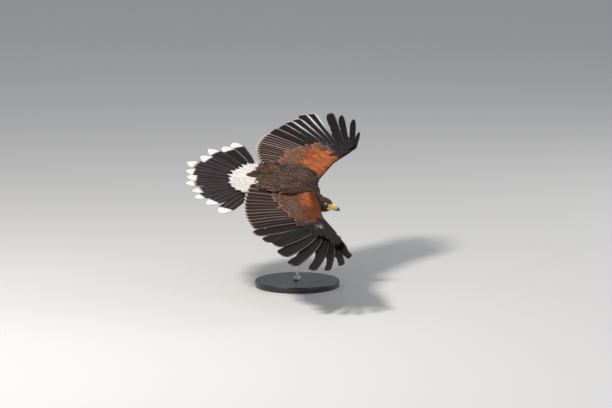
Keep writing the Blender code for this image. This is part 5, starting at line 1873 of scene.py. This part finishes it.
def make_leg(side):
    """The shank, and the foot's ball and four toes as one piece, with scutes above and pads below."""
    sign = SIDES[side]
    knee, ankle = KNEE * (1.0, sign, 1.0), TARSUS_END * (1.0, sign, 1.0)
    v = steps(120)
    radius = TARSUS_RADIUS * np.interp(v, (0, 0.2, 0.5, 0.8, 1.0), (1.1, 1.0, 0.95, 1.02, 1.25))
    turn = circle(28)
    plates = scutes(v, 16, 0.1)[:, None] * ramp(-np.sin(turn), -0.3, 0.3)
    shank = tube_along(knee + (ankle - knee) * v[:, None], radius[:, None] * (1 + plates), 28)
    finish_piece(shell("tarsus_scutes_" + side, shank), leg_finish, "bare_yellow", "tarsus_" + side)
    grids = [ankle + SOLE + ball_points(24, 32) * (0.0068, 0.0072, 0.0056)]
    w = steps(90)
    radius = TOE_RADIUS * np.interp(w, (0, 0.2, 0.42, 0.62, 0.85, 1.0), (1.18, 1.02, 1.12, 0.94, 1.02, 0.8))
    pads = 0.14 * np.exp(-(((w[:, None] - np.array((0.22, 0.5, 0.78))) / 0.07) ** 2)).sum(axis=1)
    plates = scutes(w, 13, 0.09)[:, None] * ramp(np.sin(turn), -0.1, 0.4)
    plates = plates + pads[:, None] * ramp(-np.sin(turn), 0.0, 0.6)
    for toe, splay, length, claw_length in TOES:
        line = toe_line(sign, splay, length, w)
        grids.append(tube_along(line, radius[:, None] * (1 + plates), 28))
        make_claw(side, toe, line, claw_length)
    finish_piece(shell("toes_" + side, *grids), leg_finish, "bare_yellow", "foot_" + side)


def make_claw(side, toe, line, length):
    """A talon: it leaves the toe's end straight, turns under by 1.5 rad and tapers to a point."""
    forward = unit(line[-1] - line[-2])
    inward = unit((line[-60] - line[-20]) * (1.0, 1.0, 0.0))
    under = unit(inward - forward * (inward @ forward))
    t = steps(48)
    run, drop = curl(length, 1.5, t)
    path = line[-1] + forward * (run - 0.0008) + under * drop
    rings = tube_along(path, TOE_RADIUS * 0.7 * (1 - 0.93 * t**1.2), 20)
    pale = np.repeat(0.25 * (1 - ramp(t, 0.0, 0.35)), 20)
    claw = shell(f"talon_{side}_{toe}", rings, colours={"Plumage": pale})
    return finish_piece(claw, horn, "horn", f"claw_{side}_{toe}")


def make_leg_finish():
    """Yellow scales with dark lines between them."""
    finish = Finish("leg_scutes", Roughness=0.38, Specular_IOR_Level=0.5)
    place = finish.place()
    cells = finish.cell_edges(place, 650.0)
    mottle = finish.noise(place, 160.0, 4.0)
    tone = finish.mix(mottle.step(0.3, 0.7), (0.78, 0.5, 0.07), (0.62, 0.36, 0.04))
    tone = finish.mix(cells.step(0.0, 0.1), (0.3, 0.17, 0.04), tone)
    return finish.set(Base_Color=tone, Normal=finish.bump(cells.step(0.0, 0.3), 0.0004, 0.5))


leg_finish = make_leg_finish()
for leg_side in SIDES:
    make_leg(leg_side)
print("legs end at", TARSUS_END)

# %% [markdown]
# ## The display stand
# The bird was flying, so it is held by a plain stand that belongs to the model and not to the
# photograph: a heavy round base, a collar and one steel rod into the belly. Turned parts are a profile
# carried round an axis.

# %% Stand
def turned(name, profile, segments, material, slot, node):
    """A profile of radius and height carried round the vertical axis, as a finished piece of the stand."""
    radius, height = np.asarray(profile, float).T[..., None]
    turn = circle(segments)
    points = pack(radius * np.cos(turn), radius * np.sin(turn), height)
    return finish_piece(shell(name, points, world=True), material, slot, node)


def rounded_disc(radius, bottom, top, edge):
    """The profile of a disc whose rims are quarter circles of radius edge."""
    angle = np.linspace(0.0, math.pi / 2, 6)
    out, up = edge * np.sin(angle), edge * np.cos(angle)
    rings = np.array([0.002, 0.35, 0.7, 0.97]) * (radius - edge)
    low, high = pack(radius - edge + out, bottom + edge - up), pack(radius - edge + up, top - edge + out)
    return np.vstack([pack(rings, bottom), low, high, pack(rings[::-1], top)])


def make_black():
    """Black lacquer with soft smears and a fine grain."""
    finish = Finish("black_lacquer", Roughness=0.32, Coat_Weight=0.2, Coat_Roughness=0.2)
    place = finish.place()
    grain = finish.noise(place, 900.0, 2.0)
    smear = finish.noise(place, 22.0, 3.0)
    tone = finish.mix(smear, (0.014, 0.014, 0.016), (0.024, 0.024, 0.027))
    return finish.set(Base_Color=tone, Roughness=smear * 0.18 + 0.24, Normal=finish.bump(grain, 0.0001, 0.12))


def make_steel():
    """Steel brushed round its axis: noise drawn out sideways."""
    finish = Finish("brushed_steel", Metallic=1.0, Roughness=0.28)
    x, y, z = finish.split(finish.place())
    lines = finish.noise(finish.join(x * 40.0, y * 40.0, z * 2400.0), 1.0, 3.0)
    tone = finish.mix(lines, (0.52, 0.53, 0.55), (0.72, 0.73, 0.75))
    return finish.set(Base_Color=tone, Roughness=lines * 0.2 + 0.2, Normal=finish.bump(lines, 0.00008, 0.2))


BASE_RADIUS, BASE_THICK = 0.13, 0.018
COLLAR_RADIUS = 0.012
ROD_RADIUS, ROD_SUNK = 0.005, 0.004
lacquer, steel = make_black(), make_steel()
disc = rounded_disc(BASE_RADIUS, 0.0, BASE_THICK, 0.0025)
turned("base_disc", disc, 160, lacquer, "stand_black", "stand_base")
low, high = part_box("stand_collar")
disc = rounded_disc(COLLAR_RADIUS, low[2], high[2], 0.0012)
turned("collar", disc, 72, steel, "stand_steel", "stand_collar")
low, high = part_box("stand_rod")
heights = low[2], low[2], (low[2] + high[2]) / 2, high[2] + ROD_SUNK, high[2] + ROD_SUNK
rod = list(zip((0.001, ROD_RADIUS, ROD_RADIUS, ROD_RADIUS, 0.001), heights))
rod_piece = turned("rod", rod, 48, steel, "stand_steel", "stand_rod")
rod_piece.data.set_sharp_from_angle(angle=math.radians(40.0))
print("stand: base", BASE_RADIUS * 2, "m across, rod to", round(high[2], 3), "m")

# %% [markdown]
# ## Floor and light
# A plain pale floor, and large soft lamps: one high on the left as in the photograph, a weak fill on
# the right, and one from the far right that draws the feathers' edges.

# %% Studio
FLOOR_RADIUS = 60.0
LAMP_AIM = (0.0, 0.0, 0.33)


def make_studio():
    """A flat round floor, wide enough that no view from above the horizon sees past it."""
    turn = circle(96)
    rim = FLOOR_RADIUS * pack(np.cos(turn), np.sin(turn), 0.0)
    floor = make_mesh("floor", rim, [np.arange(96)[None]], world=True)
    floor.data.materials.append(Finish("pale_floor", Base_Color=(0.74, 0.74, 0.73), Roughness=0.8).material)
    floor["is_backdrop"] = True


def lamp(name, place, size, power, colour):
    """A round soft lamp that looks at the bird."""
    data = bpy.data.lights.new(name, "AREA")
    data.shape, data.size = "DISK", size
    data.energy, data.color = power, colour
    made = link(name, data)
    made.location = place
    made.rotation_euler = (Vector(LAMP_AIM) - Vector(place)).to_track_quat("-Z", "Y").to_euler()


make_studio()
world = bpy.data.worlds.new("studio")
world.use_nodes = True
sky = world.node_tree.nodes["Background"].inputs
sky["Color"].default_value = (0.9, 0.93, 1.0, 1.0)
sky["Strength"].default_value = 0.35
bpy.context.scene.world = world
bpy.context.scene.view_settings.view_transform = "Standard"
lamp("key", (-1.6, -1.9, 3.2), 0.7, 132.0, (1.0, 0.96, 0.9))
lamp("fill", (2.6, -2.6, 1.2), 2.2, 16.0, (0.92, 0.96, 1.0))
lamp("rim", (2.6, 2.0, 1.9), 1.4, 24.0, (1.0, 0.98, 0.95))
print("lamps:", len(bpy.data.lights))

# %% [markdown]
# ## Sizes and finish
# The helper shapes go, and both boxes are written down: that of the solids and that of the dressed bird.
# The two should differ by millimetres only, because looks never change a part's size.

# %% Sizes and finish
for helper in (flesh, *wing_ground.values()):
    bpy.data.objects.remove(helper)
looks_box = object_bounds()
for box in (solid_box, looks_box):
    print("size:", [[round(v, 4) for v in corner] for corner in box])
